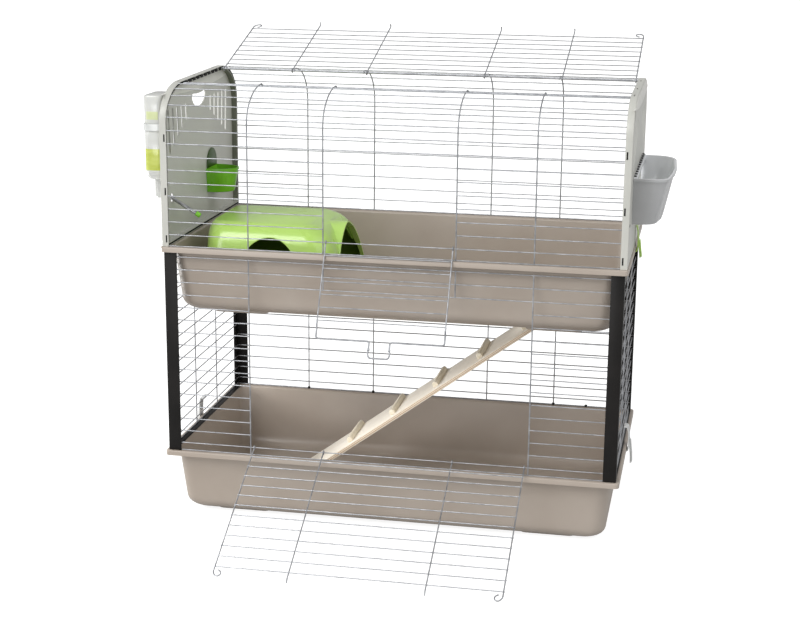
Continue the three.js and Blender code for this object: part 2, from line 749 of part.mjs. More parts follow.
// A slanting air slot through the plate, [y, z] at its middle.
function airSlot(sign, y, z, length, lean) {
  const half = SLOT_WIDTH / 2;
  const turn = THREE.MathUtils.degToRad(lean);
  const outline = [
    [0, -length / 2], [half, -length / 2 + half * 2], [half, length / 2 - half * 2],
    [0, length / 2], [-half, length / 2 - half * 2], [-half, -length / 2 + half * 2],
  ].map(([a, b]) => [
    y + a * Math.cos(turn) - b * Math.sin(turn),
    z + a * Math.sin(turn) + b * Math.cos(turn),
  ]);
  return throughPlate(sign, outline);
}

function throughPlate(sign, outline) {
  const inner = sign * (PLATE_INNER - 1);
  const outer = sign * (PANEL_FACE + 1);
  return prism('x', outline, Math.min(inner, outer), Math.max(inner, outer));
}

function endPanel(sign, cuts) {
  const faces = [sign * PANEL_FACE, sign * PANEL_INNER];
  const hollow = [sign * PLATE_INNER, sign * (PANEL_INNER - 1)];
  const shell = prism('x', panelOutline(0), Math.min(...faces), Math.max(...faces));
  const inside = prism('x', panelOutline(PANEL_BAND), Math.min(...hollow), Math.max(...hollow));
  return cuts.reduce((panel, cut) => panel.subtract(cut), shell.subtract(inside));
}

// Both panels share two fans of air slots and a shield-shaped finger hole. The shield is
// drawn half, as [from its middle, down from its top].
function sharedCuts(sign) {
  const half = [[48, 8], [44, 22], [26, 33], [0, 37]];
  const shield = [[0, 0], ...half, ...half.slice(0, -1).reverse().map(([a, b]) => [-a, b])]
    .map(([a, b]) => [SHIELD_MIDDLE + a, UPPER_RIM + SHIELD_TOP - b]);
  const cuts = [throughPlate(sign, shield)];
  for (let i = 0; i < AIR_SLOTS; i += 1) {
    const length = SHORTEST_AIR_SLOT + AIR_SLOT_GROWTH * i;
    const z = UPPER_RIM + AIR_SLOT_TOP - length / 2;
    for (const side of [-1, 1]) {
      const y = side * (AIR_SLOT_FROM_MIDDLE + AIR_SLOT_PITCH * i);
      cuts.push(airSlot(sign, y, z, length, -side * AIR_SLOT_LEAN));
    }
  }
  return cuts;
}

const tubeZ = UPPER_RIM + TUBE_AT_PANEL;
const tubeHole = throughPlate(-1, circle(BOTTLE_Y, tubeZ, TUBE_HOLE, 8));
addPart('left_end_panel', endPanel(-1, [...sharedCuts(-1), tubeHole]), PALE_GREY);

const hayCuts = [];
for (let i = 0; i < HAY_SLOTS; i += 1) {
  const y = (RACK_FRONT_Y + RACK_BACK_Y) / 2 + (i - (HAY_SLOTS - 1) / 2) * HAY_SLOT_PITCH;
  const half = HAY_SLOT_WIDTH / 2;
  const low = UPPER_RIM + RACK_BOTTOM + 22;
  const high = UPPER_RIM + RACK_TOP - 16;
  hayCuts.push(throughPlate(1, [[y - half, low], [y + half, low], [y + half, high], [y - half, high]]));
}
addPart('right_end_panel', endPanel(1, [...sharedCuts(1), ...hayCuts]), PALE_GREY);

// ---------------------------------------------------------------- ramp

// The plank is drawn level, its foot end at the origin and its tread face on z = 0, and is
// then tilted and lifted so that its foot rests in the lower tray.
const slope = THREE.MathUtils.degToRad(RAMP_SLOPE);
const lowerFloor = LOWER_RIM - TRAY_DEPTH + TRAY_WALL;
const rampEndZ = UPPER_FLOOR - RAMP_END_BELOW;
const rampFootZ = lowerFloor + SEAT + RAMP_THICK * Math.cos(slope);
const rampLength = (rampEndZ - rampFootZ) / Math.sin(slope);
const ramp = new THREE.Group();
ramp.position.set(RAMP_END_X - rampLength * Math.cos(slope), 0, rampFootZ);
ramp.rotation.y = -slope;
cage.add(ramp);

addPart(
  'ramp_plank',
  block(0, rampLength, -RAMP_WIDTH / 2, RAMP_WIDTH / 2, -RAMP_THICK, 0),
  PLYWOOD,
  ramp,
);

function cleat(along) {
  const half = CLEAT_SIZE / 2;
  const middle = CLEAT_SET_BACK;
  const outline = [
    [along - half, SEAT], [along + half, SEAT], [along + half, CLEAT_SIZE - 4],
    [along + half - 3, CLEAT_SIZE], [along - half + 3, CLEAT_SIZE], [along - half, CLEAT_SIZE - 4],
  ];
  return prism('y', outline, middle - CLEAT_LENGTH / 2, middle + CLEAT_LENGTH / 2);
}

for (let i = 0; i < CLEAT_COUNT; i += 1) {
  addPart(`ramp_cleat_${i + 1}`, cleat(FIRST_CLEAT_FROM_FOOT + CLEAT_PITCH * i), PINE, ramp);
}

// A steel hook, screwed to the tread, hangs the ramp on the collar of the hatch.
// The outline is in (x, z), upright, and follows the tread at its lower end.
function rampHook() {
  const out = HOOK_THICK / 2 + SEAT;
  const lift = [-Math.sin(slope) * out, Math.cos(slope) * out];
  const lapX = RAMP_END_X - HOOK_LAP * Math.cos(slope);
  const lapZ = rampEndZ - HOOK_LAP * Math.sin(slope);
  const innerX = HATCH_RIGHT - HOOK_PLAY - HOOK_THICK / 2;
  const overZ = collarTop + SEAT + HOOK_THICK / 2;
  const outerX = HATCH_RIGHT + COLLAR_WALL + HOOK_PLAY + HOOK_THICK / 2;
  const path = [
    [lapX + lift[0], lapZ + lift[1]],
    [RAMP_END_X + lift[0], rampEndZ + lift[1]],
    [innerX, overZ - 6],
    [innerX, overZ],
    [outerX, overZ],
    [outerX, overZ - 5],
  ];
  return prism('y', strip(path, HOOK_THICK), -HOOK_WIDTH / 2, HOOK_WIDTH / 2);
}

addPart('ramp_hook', rampHook(), STEEL);

// ---------------------------------------------------------------- hide house

// A vacuum-formed shell with a flat top: upright at the left end, sloping at the right end,
// where a vaulted tunnel runs out of it. The doorway is in front.
function dome(inset, drop, foot) {
  const profile = [
    [0, 0, 0, 0], [1, 6, 4, 0.34], [2, 16, 9, 0.62], [3, 32, 18, 0.82], [6, 52, 34, 0.94], [14, 80, 54, 1],
  ];
  return loft(profile.map(([left, right, side, share]) => roundedRing(
    HOUSE_LENGTH / 2 - inset - (left + right) / 2,
    HOUSE_WIDTH / 2 - inset - side,
    HOUSE_CORNER - inset - left * 2,
    UPPER_FLOOR + (share ? SEAT + (HOUSE_HEIGHT - drop) * share : foot),
    HOUSE_X + (left - right) / 2,
    HOUSE_Y,
  )));
}

function archOutline(middle, width, foot, height) {
  const rise = Math.min(width / 2, height * 0.6);
  return [
    [middle - width / 2, foot],
    [middle + width / 2, foot],
    ...arc(middle, foot + height - rise, width / 2, rise, 0, 180, 10),
  ];
}

function vault(inset, from, to, drop = 0) {
  const half = TUNNEL_WIDTH / 2 + TUNNEL_LIP - inset;
  const rise = TUNNEL_HEIGHT + TUNNEL_LIP - inset;
  const foot = UPPER_FLOOR + SEAT;
  const skirt = drop ? [[HOUSE_Y - half, foot - drop], [HOUSE_Y + half, foot - drop]] : [];
  return prism('x', [...arc(HOUSE_Y, foot, half, rise, 0, 180, 18), ...skirt], from, to);
}

function hideHouse() {
  const below = SEAT + 1;
  const endX = HOUSE_X + HOUSE_LENGTH / 2;
  const tunnelX = endX - TUNNEL_RUN;
  const frontY = HOUSE_Y - HOUSE_WIDTH / 2;
  const doorway = archOutline(HOUSE_DOOR_X, HOUSE_DOOR_WIDTH, UPPER_FLOOR - 1, HOUSE_DOOR_HEIGHT + 1);
  return dome(0, 0, SEAT)
    .add(vault(0, tunnelX, endX))
    .subtract(dome(HOUSE_WALL, HOUSE_WALL, -1))
    .subtract(vault(HOUSE_WALL, tunnelX, endX - HOUSE_WALL, below))
    .subtract(vault(TUNNEL_LIP, tunnelX, endX + 2, below))
    .subtract(prism('y', doorway, frontY - 2, HOUSE_Y - 20));
}

addPart('hide_house', hideHouse(), LIME);

// ---------------------------------------------------------------- feeder cup

// Half a round bowl with a flat back and a rounded tongue that lies on the end panel.
function feederCup() {
  const back = -PLATE_INNER + SEAT;
  const low = UPPER_RIM + CUP_BOTTOM;
  const high = UPPER_RIM + CUP_TOP;
  const bowl = (inset, bottom, top) => {
    const ring = (share, z) => {
      const halfY = CUP_WIDTH / 2 * share - inset;
      const reach = CUP_REACH * share - inset;
      return [
        [back + inset, CUP_Y - halfY, z],
        ...arc(back + inset + 8, CUP_Y, reach - inset - 8, halfY, -90, 90, 8).map(([x, y]) => [x, y, z]),
        [back + inset, CUP_Y + halfY, z],
      ];
    };
    return loft([ring(0.84, bottom), ring(1, top)]);
  };
  const tongue = prism('x', [
    [CUP_Y - TONGUE_WIDTH / 2, high - 20],
    [CUP_Y + TONGUE_WIDTH / 2, high - 20],
    ...arc(CUP_Y, UPPER_RIM + TONGUE_TOP - TONGUE_WIDTH / 2, TONGUE_WIDTH / 2, TONGUE_WIDTH / 2, 0, 180, 8),
  ], back, back + CUP_WALL);
  return bowl(0, low, high).subtract(bowl(CUP_WALL, low + CUP_WALL, high + 1)).add(tongue);
}

addPart('feeder_cup', feederCup(), GREEN);

// ---------------------------------------------------------------- water bottle

const bottleGap = SEAT * 2 + STRAP_THICK;
const bottleX = -PANEL_FACE - bottleGap - BOTTLE_THICK / 2;
const bottleFoot = UPPER_RIM + BOTTLE_BOTTOM;

function bottleRing(share, z) {
  const halfX = BOTTLE_THICK / 2 * share;
  const halfY = BOTTLE_WIDTH / 2 * share;
  return roundedRing(halfX, halfY, BOTTLE_CORNER * share, z, bottleX, BOTTLE_Y, 3);
}

addPart('bottle_body', loft([
  bottleRing(0.5, bottleFoot),
  bottleRing(0.8, bottleFoot + 6),
  bottleRing(1, bottleFoot + 20),
  bottleRing(1, UPPER_RIM + BOTTLE_TOP - 6),
  bottleRing(0.9, UPPER_RIM + BOTTLE_TOP),
]), CLEAR);

const capTop = bottleFoot - SEAT;
addPart(
  'bottle_cap',
  prism('z', circle(bottleX, BOTTLE_Y, CAP_RADIUS, 14), UPPER_RIM + CAP_BOTTOM, capTop),
  PALE_GREY,
);

function bottleStrap() {
  const low = UPPER_RIM + STRAP_AT;
  const ring = (grow, z) => roundedRing(
    BOTTLE_THICK / 2 + SEAT + grow,
    BOTTLE_WIDTH / 2 + SEAT + grow,
    BOTTLE_CORNER + SEAT + grow,
    z,
    bottleX,
    BOTTLE_Y,
    3,
  );
  const outer = loft([ring(STRAP_THICK, low), ring(STRAP_THICK, low + STRAP_HEIGHT)]);
  return outer.subtract(loft([ring(0, low - 1), ring(0, low + STRAP_HEIGHT + 1)]));
}

addPart('bottle_strap', bottleStrap(), CLEAR);

// The drinking tube slopes from the cap through the panel into the cage. It is drawn along
// X from the middle of its hole in the panel, and then tilted down.
const drop = THREE.MathUtils.degToRad(TUBE_DROP);
const tubeGroup = new THREE.Group();
tubeGroup.position.set(-PANEL_FACE, BOTTLE_Y, tubeZ);
tubeGroup.rotation.y = drop;
cage.add(tubeGroup);

const capFace = bottleX + CAP_RADIUS;
const tubeBack = (capFace + PANEL_FACE + SEAT + TUBE_RADIUS * Math.sin(drop)) / Math.cos(drop);
addPart(
  'drinking_tube',
  prism('x', circle(0, 0, TUBE_RADIUS, 10), tubeBack, TUBE_INSIDE),
  STEEL,
  tubeGroup,
);
addPart(
  'tube_tip',
  prism('x', circle(0, 0, TIP_RADIUS, 10), TUBE_INSIDE + SEAT, TUBE_INSIDE + SEAT + TIP_LENGTH),
  GREEN,
  tubeGroup,
);

// ---------------------------------------------------------------- hay rack

// An open trough on the outside of the right panel, wider at the top than at the bottom.
function hayRack() {
  const back = PANEL_FACE + SEAT;
  const low = UPPER_RIM + RACK_BOTTOM;
  const high = UPPER_RIM + RACK_TOP;
  const middleY = (RACK_FRONT_Y + RACK_BACK_Y) / 2;
  const ring = (z, taper, inset, flush) => [
    [back - flush, RACK_FRONT_Y + taper + inset],
    [back + RACK_FRONT_REACH - taper - inset - 14, RACK_FRONT_Y + taper + inset],
    [back + RACK_FRONT_REACH - taper - inset, RACK_FRONT_Y + 12 + taper + inset],
    [back + RACK_MIDDLE_REACH - taper - inset - 4, middleY - 40],
    [back + RACK_MIDDLE_REACH - taper - inset, middleY],
    [back + RACK_BACK_REACH - taper - inset, RACK_BACK_Y - 16 - taper - inset],
    [back + RACK_BACK_REACH - taper - inset - 16, RACK_BACK_Y - taper - inset],
    [back - flush, RACK_BACK_Y - taper - inset],
  ].map(([x, y]) => [x, y, z]);
  const outer = loft([ring(low, RACK_TAPER, 0, 0), ring(high, 0, 0, 0)]);
  const band = loft([ring(high - RACK_BAND, -RACK_WALL, 0, 0), ring(high, -RACK_WALL, 0, 0)]);
  const hollow = loft([
    ring(low + RACK_WALL, RACK_TAPER, RACK_WALL, 1),
    ring(high + 1, 0, RACK_WALL, 1),
  ]);
  return outer.add(band).subtract(hollow);
}

addPart('hay_rack', hayRack(), SMOKE);

// ---------------------------------------------------------------- rim clips

// A clip turns on a bead under the lip of a rim. Its lever rises outside the lip and its
// nose reaches in to what it holds down. The profile is in (x, z), for the right side.
function rimClip(sign, rim, reachX, top, low, high) {
  const beadX = HALF_LENGTH - TRAY_WALL / 2;
  const beadZ = rim - LIP_HEIGHT - SEAT - CLIP_BEAD;
  const leverX = HALF_LENGTH + PLAY * 2 + CLIP_THICK / 2;
  const flip = (points) => points.map(([x, z]) => [sign * x, z]);
  const lever = strip([
    [beadX, beadZ],
    [leverX - 2, beadZ],
    [leverX + 1.5, beadZ + 4],
    [leverX + 2.5, (beadZ + top) / 2],
    [leverX, top - 8],
    [leverX - 3, top],
    [reachX + 1, top],
  ], CLIP_THICK);
  const bead = circle(beadX, beadZ, CLIP_BEAD / Math.cos(Math.PI / 8), 8);
  const handle = strip([
    [leverX + 2.5, (beadZ + top) / 2],
    [leverX + 7, beadZ - 6],
    [leverX + 8, low],
  ], CLIP_THICK);
  const nose = [[reachX, high], [reachX + 4, high], [reachX + 4, top + 1.5], [reachX, top + 1.5]];
  return joined([lever, bead, handle, nose].map((outline) => (
    prism('y', flip(outline), -CLIP_WIDTH / 2, CLIP_WIDTH / 2)
  )));
}

const upperReach = PANEL_FACE + SEAT;
const lowerReach = GRILLE_X + WIRE / 2 + SEAT;
const lowerClipTop = lowerRowZ(LOWER_CLIP_ROW);
for (const [side, sign] of [['left', -1], ['right', 1]]) {
  const upperTop = UPPER_RIM + UPPER_CLIP_RISE;
  addPart(
    `upper_clip_${side}`,
    rimClip(sign, UPPER_RIM, upperReach, upperTop, UPPER_RIM - 26, upperTop - 4),
    LIME,
  );
  addPart(
    `lower_clip_${side}`,
    rimClip(sign, LOWER_RIM, lowerReach, lowerClipTop, LOWER_RIM - 40, lowerClipTop - 4),
    CLEAR,
  );
}

export default cage;
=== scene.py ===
import math

import bmesh
import bpy
from mathutils import Matrix, Vector
from mathutils.bvhtree import BVHTree


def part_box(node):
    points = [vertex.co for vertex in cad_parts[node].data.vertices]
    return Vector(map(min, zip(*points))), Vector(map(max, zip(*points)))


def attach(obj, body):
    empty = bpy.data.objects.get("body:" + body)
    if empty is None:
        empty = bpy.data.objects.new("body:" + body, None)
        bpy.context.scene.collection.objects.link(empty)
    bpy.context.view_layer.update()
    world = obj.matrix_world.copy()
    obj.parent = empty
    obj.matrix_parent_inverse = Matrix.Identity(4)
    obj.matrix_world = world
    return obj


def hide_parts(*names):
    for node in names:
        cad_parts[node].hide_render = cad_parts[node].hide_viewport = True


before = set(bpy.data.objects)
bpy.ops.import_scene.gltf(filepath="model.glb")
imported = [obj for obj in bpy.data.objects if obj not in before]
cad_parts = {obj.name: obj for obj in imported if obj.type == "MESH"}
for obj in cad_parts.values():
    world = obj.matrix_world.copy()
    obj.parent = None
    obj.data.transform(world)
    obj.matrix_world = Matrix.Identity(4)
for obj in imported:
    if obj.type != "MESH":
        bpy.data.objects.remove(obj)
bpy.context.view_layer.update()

# ---------------------------------------------------------------- studio
# The cage stands on a plain pale floor under three broad lamps, with a low soft box in
# front and a small one at the left that lights the ramp. The camera looks down a little
# from the front right.

CAMERA_PLACE = Vector((0.66687, -3.54194, 1.3468))
CAMERA_YAW = -0.193
CAMERA_PITCH = 0.2543
CAMERA_ROLL = 0.0098
LENS_MM = 73.55
FLOOR_SIZE = 60.0
FLOOR_GREY = 0.42
FLOOR_GLOW = 0.1
FLOOR_SEEN_GLOW = 0.75


def set_camera():
    ahead = Vector((
        math.sin(CAMERA_YAW) * math.cos(CAMERA_PITCH),
        math.cos(CAMERA_YAW) * math.cos(CAMERA_PITCH),
        -math.sin(CAMERA_PITCH),
    ))
    level = Vector((math.cos(CAMERA_YAW), -math.sin(CAMERA_YAW), 0))
    upright = level.cross(ahead)
    right = level * math.cos(CAMERA_ROLL) + upright * math.sin(CAMERA_ROLL)
    up = upright * math.cos(CAMERA_ROLL) - level * math.sin(CAMERA_ROLL)
    data = bpy.data.cameras.new("camera")
    data.lens = LENS_MM
    data.sensor_width = 36
    data.sensor_fit = "HORIZONTAL"
    camera = bpy.data.objects.new("camera", data)
    turn = Matrix((right, up, -ahead)).transposed().to_4x4()
    camera.matrix_world = Matrix.Translation(CAMERA_PLACE) @ turn
    bpy.context.collection.objects.link(camera)
    bpy.context.scene.camera = camera


def set_light():
    world = bpy.data.worlds.new("white_room")
    world.use_nodes = True
    sky = world.node_tree.nodes["Background"]
    sky.inputs["Color"].default_value = (1, 1, 1, 1)
    sky.inputs["Strength"].default_value = 0.45
    bpy.context.scene.world = world
    for name, power, wide, high, place, target in (
        ("low_box", 8, 1.4, 0.35, (-0.6, -2.5, 0.62), (0.1, 0.1, 0.2)),
        ("ramp_box", 4.5, 0.3, 0.25, (-1.1, -0.08, 0.42), (0.05, 0, 0.3)),
    ):
        data = bpy.data.lights.new(name, "AREA")
        data.shape = "RECTANGLE"
        data.size = wide
        data.size_y = high
        data.energy = power
        box = bpy.data.objects.new(name, data)
        box.location = place
        ahead = Vector(target) - box.location
        box.rotation_euler = ahead.to_track_quat("-Z", "Y").to_euler()
        box.visible_camera = False
        bpy.context.scene.collection.objects.link(box)
    for name, strength, spread, place in (
        ("key", 1.5, 30, (-2.2, -3.4, 4.2)),
        ("low_key", 0.55, 24, (-3.0, -3.6, 1.5)),
        ("fill", 0.95, 70, (3.2, -1.0, 2.2)),
    ):
        data = bpy.data.lights.new(name, "SUN")
        data.energy = strength
        data.angle = math.radians(spread)
        lamp = bpy.data.objects.new(name, data)
        lamp.rotation_euler = (-Vector(place)).to_track_quat("-Z", "Y").to_euler()
        bpy.context.collection.objects.link(lamp)


def lay_floor():
    bm = bmesh.new()
    bmesh.ops.create_grid(bm, x_segments=1, y_segments=1, size=FLOOR_SIZE / 2)
    mesh = bpy.data.meshes.new("floor")
    bm.to_mesh(mesh)
    bm.free()
    paint = bpy.data.materials.new("white_floor")
    paint.use_nodes = True
    shader = paint.node_tree.nodes["Principled BSDF"]
    shader.inputs["Base Color"].default_value = (FLOOR_GREY, FLOOR_GREY, FLOOR_GREY, 1)
    shader.inputs["Roughness"].default_value = 0.9
    shader.inputs["Specular IOR Level"].default_value = 0.1
    shader.inputs["Emission Color"].default_value = (1, 1, 1, 1)
    seen = paint.node_tree.nodes.new("ShaderNodeLightPath")
    glow = paint.node_tree.nodes.new("ShaderNodeMath")
    glow.operation = "MULTIPLY_ADD"
    glow.inputs[1].default_value = FLOOR_SEEN_GLOW
    glow.inputs[2].default_value = FLOOR_GLOW
    paint.node_tree.links.new(seen.outputs["Is Camera Ray"], glow.inputs[0])
    paint.node_tree.links.new(glow.outputs["Value"], shader.inputs["Emission Strength"])
    mesh.materials.append(paint)
    floor = bpy.data.objects.new("floor", mesh)
    bpy.context.collection.objects.link(floor)


bpy.context.scene.view_settings.view_transform = "Standard"
set_camera()
set_light()
lay_floor()

# ---------------------------------------------------------------- trays
# Both trays are the same vacuum-formed shell of taupe plastic: a wide bowl with leaning
# walls, a flat rim that carries the wires, a lip turned down round the edge, and pads
# pressed into the base. The upper one has a hatch for the ramp, with a low collar.

MM = 0.001
TRAY_WALL = 3 * MM
RIM_FLAT = 18 * MM
LIP_DROP = 11 * MM
TRAY_DEPTH = 147 * MM
WALL_LEAN = 18 * MM
END_REACH = 9 * MM
BASE_ROUND = 30 * MM
WALL_CORNER = 34 * MM
RIM_CORNER = 10 * MM
PAD_LONG = 125 * MM
PAD_WIDE = 70 * MM
PAD_FROM_END = 93 * MM
PAD_FROM_SIDE = 73 * MM
MIDDLE_PAD = (140 * MM, 90 * MM)
HATCH = (200 * MM, 340 * MM)
HATCH_HALF = 86 * MM
COLLAR_HEIGHT = 15 * MM

tray_low, tray_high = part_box("lower_tray")
HALF_LENGTH = tray_high.x
HALF_WIDTH = tray_high.y
LOWER_RIM = tray_high.z
UPPER_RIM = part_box("upper_tray")[1].z
UPPER_FLOOR = UPPER_RIM - TRAY_DEPTH + TRAY_WALL


def points_of(made):
    """The points among what an operator made."""
    return [part for part in made if isinstance(part, bmesh.types.BMVert)]


def corner_heading(vert, row):
    """Which corner of a rounded rectangle a point is on, and its heading from the middle of
    that corner's arc."""
    half_x, half_y, corner, _, x, y = row
    side = Vector((math.copysign(1, vert.co.x - x), math.copysign(1, vert.co.y - y)))
    middle = Vector((x + side.x * (half_x - corner), y + side.y * (half_y - corner)))
    return side, (vert.co.xy - middle) / corner


def skin_rows(bm, rows, steps=8):
    """A skin through level rectangles with round corners, one for each row: half length,
    half width, corner, height and middle. Returns the first and the last ring's edges."""
    half_x, half_y, corner, z, x, y = rows[0]
    place = Matrix.Translation((x, y, z)) @ Matrix.Diagonal((half_x, half_y, 1, 1))
    square = bmesh.ops.create_grid(bm, x_segments=1, y_segments=1, size=1, matrix=place)
    rounded = bmesh.ops.bevel(
        bm, geom=square["verts"], offset=corner, offset_type="OFFSET", segments=steps,
        profile=0.5, affect="VERTICES", material=-1,
    )
    first = list({edge for vert in rounded["verts"] for edge in vert.link_edges})
    faces = list({face for edge in first for face in edge.link_faces})
    bmesh.ops.delete(bm, geom=faces, context="FACES_ONLY")
    ring = first
    for before, after in zip(rows, rows[1:]):
        made = bmesh.ops.extrude_edge_only(bm, edges=ring)["geom"]
        ring = [part for part in made if isinstance(part, bmesh.types.BMEdge)]
        half_x, half_y, corner, z, x, y = after
        for vert in points_of(made):
            side, heading = corner_heading(vert, before)
            vert.co.x = x + side.x * (half_x - corner) + heading.x * corner
            vert.co.y = y + side.y * (half_y - corner) + heading.y * corner
            vert.co.z = z
    return first, ring


def closed_rows(bm, rows, steps=8):
    """The same skin, closed at both ends."""
    for end in skin_rows(bm, rows, steps):
        bmesh.ops.edgeloop_fill(bm, edges=end)


def quarter(steps):
    """The sines and cosines of a quarter turn."""
    return [
        (math.sin(math.pi / 2 * i / steps), math.cos(math.pi / 2 * i / steps))
        for i in range(steps + 1)
    ]


def material(name, paint):
    """A procedural material. paint(add, link, shader, place) adds its nodes."""
    made = bpy.data.materials.new(name)
    made.use_nodes = True
    tree = made.node_tree
    shader = tree.nodes["Principled BSDF"]

    def add(kind, sockets=(), **settings):
        node = tree.nodes.new("ShaderNode" + kind)
        for key, value in settings.items():
            setattr(node, key, value)
        for socket, value in dict(sockets).items():
            if isinstance(value, bpy.types.NodeSocket):
                tree.links.new(value, node.inputs[socket])
            else:
                node.inputs[socket].default_value = value
        return node

    place = add("TexCoord").outputs["Object"]
    paint(add, tree.links.new, shader, place)
    return made


def srgb(red, green, blue):
    """A colour given as it looks on a screen, 0 to 255, made linear."""
    return (
        *(((c / 255 + 0.055) / 1.055) ** 2.4 for c in (red, green, blue)),
        1,
    )


def grain(add, link, shader, place, scale, depth, distance=0.0004):
    """A fine moulded grain as a bump."""
    noise = add("TexNoise", {"Vector": place, "Scale": scale, "Detail": 3})
    bump = add("Bump", {"Strength": depth, "Distance": distance, "Height": noise.outputs["Fac"]})
    link(bump.outputs["Normal"], shader.inputs["Normal"])


def two_tone(add, place, low, high, scale, stretch=(1, 1, 1), detail=4.0):
    """Slow drifts between two close colours."""
    spread = add("Mapping", {"Vector": place, "Scale": stretch})
    noise = add("TexNoise", {"Vector": spread.outputs["Vector"], "Scale": scale, "Detail": detail})
    ramp = add("ValToRGB", {"Fac": noise.outputs["Fac"]})
    ramp.color_ramp.elements[0].position = 0.35
    ramp.color_ramp.elements[0].color = low
    ramp.color_ramp.elements[1].position = 0.65
    ramp.color_ramp.elements[1].color = high
    return ramp.outputs["Color"], noise.outputs["Fac"]


def uneven_gloss(add, link, shader, drift, low, high):
    """Roughness that drifts with the colour, between two values."""
    uneven = add("MapRange", {"Value": drift, "To Min": low, "To Max": high})
    link(uneven.outputs["Result"], shader.inputs["Roughness"])


def moulded(low, high, rough=(0.3, 0.42), coat=0.15, scale=6, bump=0.12, bump_scale=900, shine=0.5):
    """The paint of a moulded plastic: two close tones, uneven gloss and a fine grain."""
    def paint(add, link, shader, place):
        colour, drift = two_tone(add, place, srgb(*low), srgb(*high), scale)
        link(colour, shader.inputs["Base Color"])
        uneven_gloss(add, link, shader, drift, rough[0], rough[1])
        shader.inputs["Specular IOR Level"].default_value = shine
        shader.inputs["Coat Weight"].default_value = coat
        shader.inputs["Coat Roughness"].default_value = 0.2
        grain(add, link, shader, place, bump_scale, bump)
    return paint


taupe_plastic = material("taupe_plastic", moulded((166, 154, 142), (174, 163, 152)))


def finish_piece(name, bm, paint, body, nodes=(), crease=35, recalc=True):
    """Makes the object, shades it smooth up to the crease angle and hangs it on its body."""
    if recalc:
        bmesh.ops.recalc_face_normals(bm, faces=bm.faces)
    mesh = bpy.data.meshes.new(name)
    bm.to_mesh(mesh)
    bm.free()
    mesh.materials.append(paint)
    mesh.shade_smooth()
    mesh.set_sharp_from_angle(angle=math.radians(crease))
    thing = bpy.data.objects.new(name, mesh)
    bpy.context.collection.objects.link(thing)
    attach(thing, body)
    if nodes:
        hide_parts(*nodes)
    return thing


def press_pad(bm, base, x, y, long, wide):
    """A pad under the base, drawn in a little towards the floor."""
    pad = tray_low.z - (LOWER_RIM - TRAY_DEPTH)
    rows = [
        (long / 2, wide / 2, 14 * MM, base + TRAY_WALL / 2, x, y),
        (long / 2 - 1.5 * MM, wide / 2 - 1.5 * MM, 13 * MM, base + pad * 0.8, x, y),
        (long / 2 - 3 * MM, wide / 2 - 3 * MM, 12 * MM, base + pad, x, y),
    ]
    closed_rows(bm, rows)


def flat_floor(bm, base):
    """The faces of the tray's level floor."""
    return [
        face for face in bm.faces
        if abs(face.normal.z) > 0.999 and face.calc_center_median().z < base + 2 * TRAY_WALL
    ]


def cut_hatch(bm, base):
    """Opens the hatch in the floor and raises its collar."""
    for at, across in (
        ((HATCH[0], 0, 0), (1, 0, 0)), ((HATCH[1], 0, 0), (1, 0, 0)),
        ((0, -HATCH_HALF, 0), (0, 1, 0)), ((0, HATCH_HALF, 0), (0, 1, 0)),
    ):
        flat = flat_floor(bm, base)
        edges = list({edge for face in flat for edge in face.edges})
        verts = list({vert for face in flat for vert in face.verts})
        bmesh.ops.bisect_plane(bm, geom=flat + edges + verts, plane_co=at, plane_no=across)
        bm.normal_update()
    opening = [
        face for face in flat_floor(bm, base)
        if HATCH[0] < face.calc_center_median().x < HATCH[1]
        and abs(face.calc_center_median().y) < HATCH_HALF
    ]
    edges = list({edge for face in opening for edge in face.edges})
    bmesh.ops.delete(bm, geom=opening, context="FACES_ONLY")
    raised = bmesh.ops.extrude_edge_only(bm, edges=edges)["geom"]
    bmesh.ops.translate(bm, verts=points_of(raised), vec=(0, 0, COLLAR_HEIGHT))


def form_tray(name, rim, hatch):
    bm = bmesh.new()
    base = rim - TRAY_DEPTH
    foot = RIM_FLAT + WALL_LEAN + TRAY_WALL
    inner_round = BASE_ROUND - TRAY_WALL
    inner_corner = WALL_CORNER - TRAY_WALL
    profile = [
        (foot + inner_round * (1 - down), base + TRAY_WALL + inner_round * (1 - along), inner_corner)
        for down, along in quarter(7)
    ]
    turn = 6 * MM
    top = RIM_FLAT + TRAY_WALL
    for down, along in quarter(4):
        profile.append((
            top - turn * (1 - along),
            rim - turn * (1 - down),
            inner_corner - turn * (1 - along),
        ))
    edge = 2 * MM
    for down, along in quarter(3):
        profile.append((
            edge * (1 - down),
            rim - edge * (1 - along),
            RIM_CORNER - edge * (1 - down),
        ))
    profile.append((0, rim - LIP_DROP, RIM_CORNER))
    rows = []
    for inset, z, corner in profile:
        reach = END_REACH if inset > top else 0
        rows.append((HALF_LENGTH - inset + reach, HALF_WIDTH - inset, corner, z, 0, 0))
    floor_edges, _ = skin_rows(bm, rows)
    floor = bmesh.ops.edgeloop_fill(bm, edges=floor_edges)["faces"][0]
    bmesh.ops.recalc_face_normals(bm, faces=bm.faces)
    if floor.normal.z < 0:
        bmesh.ops.reverse_faces(bm, faces=bm.faces)
    if hatch:
        cut_hatch(bm, base)
        bmesh.ops.recalc_face_normals(bm, faces=bm.faces)
        if flat_floor(bm, base)[0].normal.z < 0:
            bmesh.ops.reverse_faces(bm, faces=bm.faces)
    bmesh.ops.solidify(bm, geom=bm.faces[:], thickness=TRAY_WALL)
    for x in (-1, 1):
        for y in (-1, 1):
            press_pad(
                bm, base, x * (HALF_LENGTH - PAD_FROM_END - PAD_LONG / 2),
                y * (HALF_WIDTH - PAD_FROM_SIDE - PAD_WIDE / 2), PAD_LONG, PAD_WIDE,
            )
    press_pad(bm, base, 0, 0, *MIDDLE_PAD)
    finish_piece(name + "_shell", bm, taupe_plastic, "cage", [name])


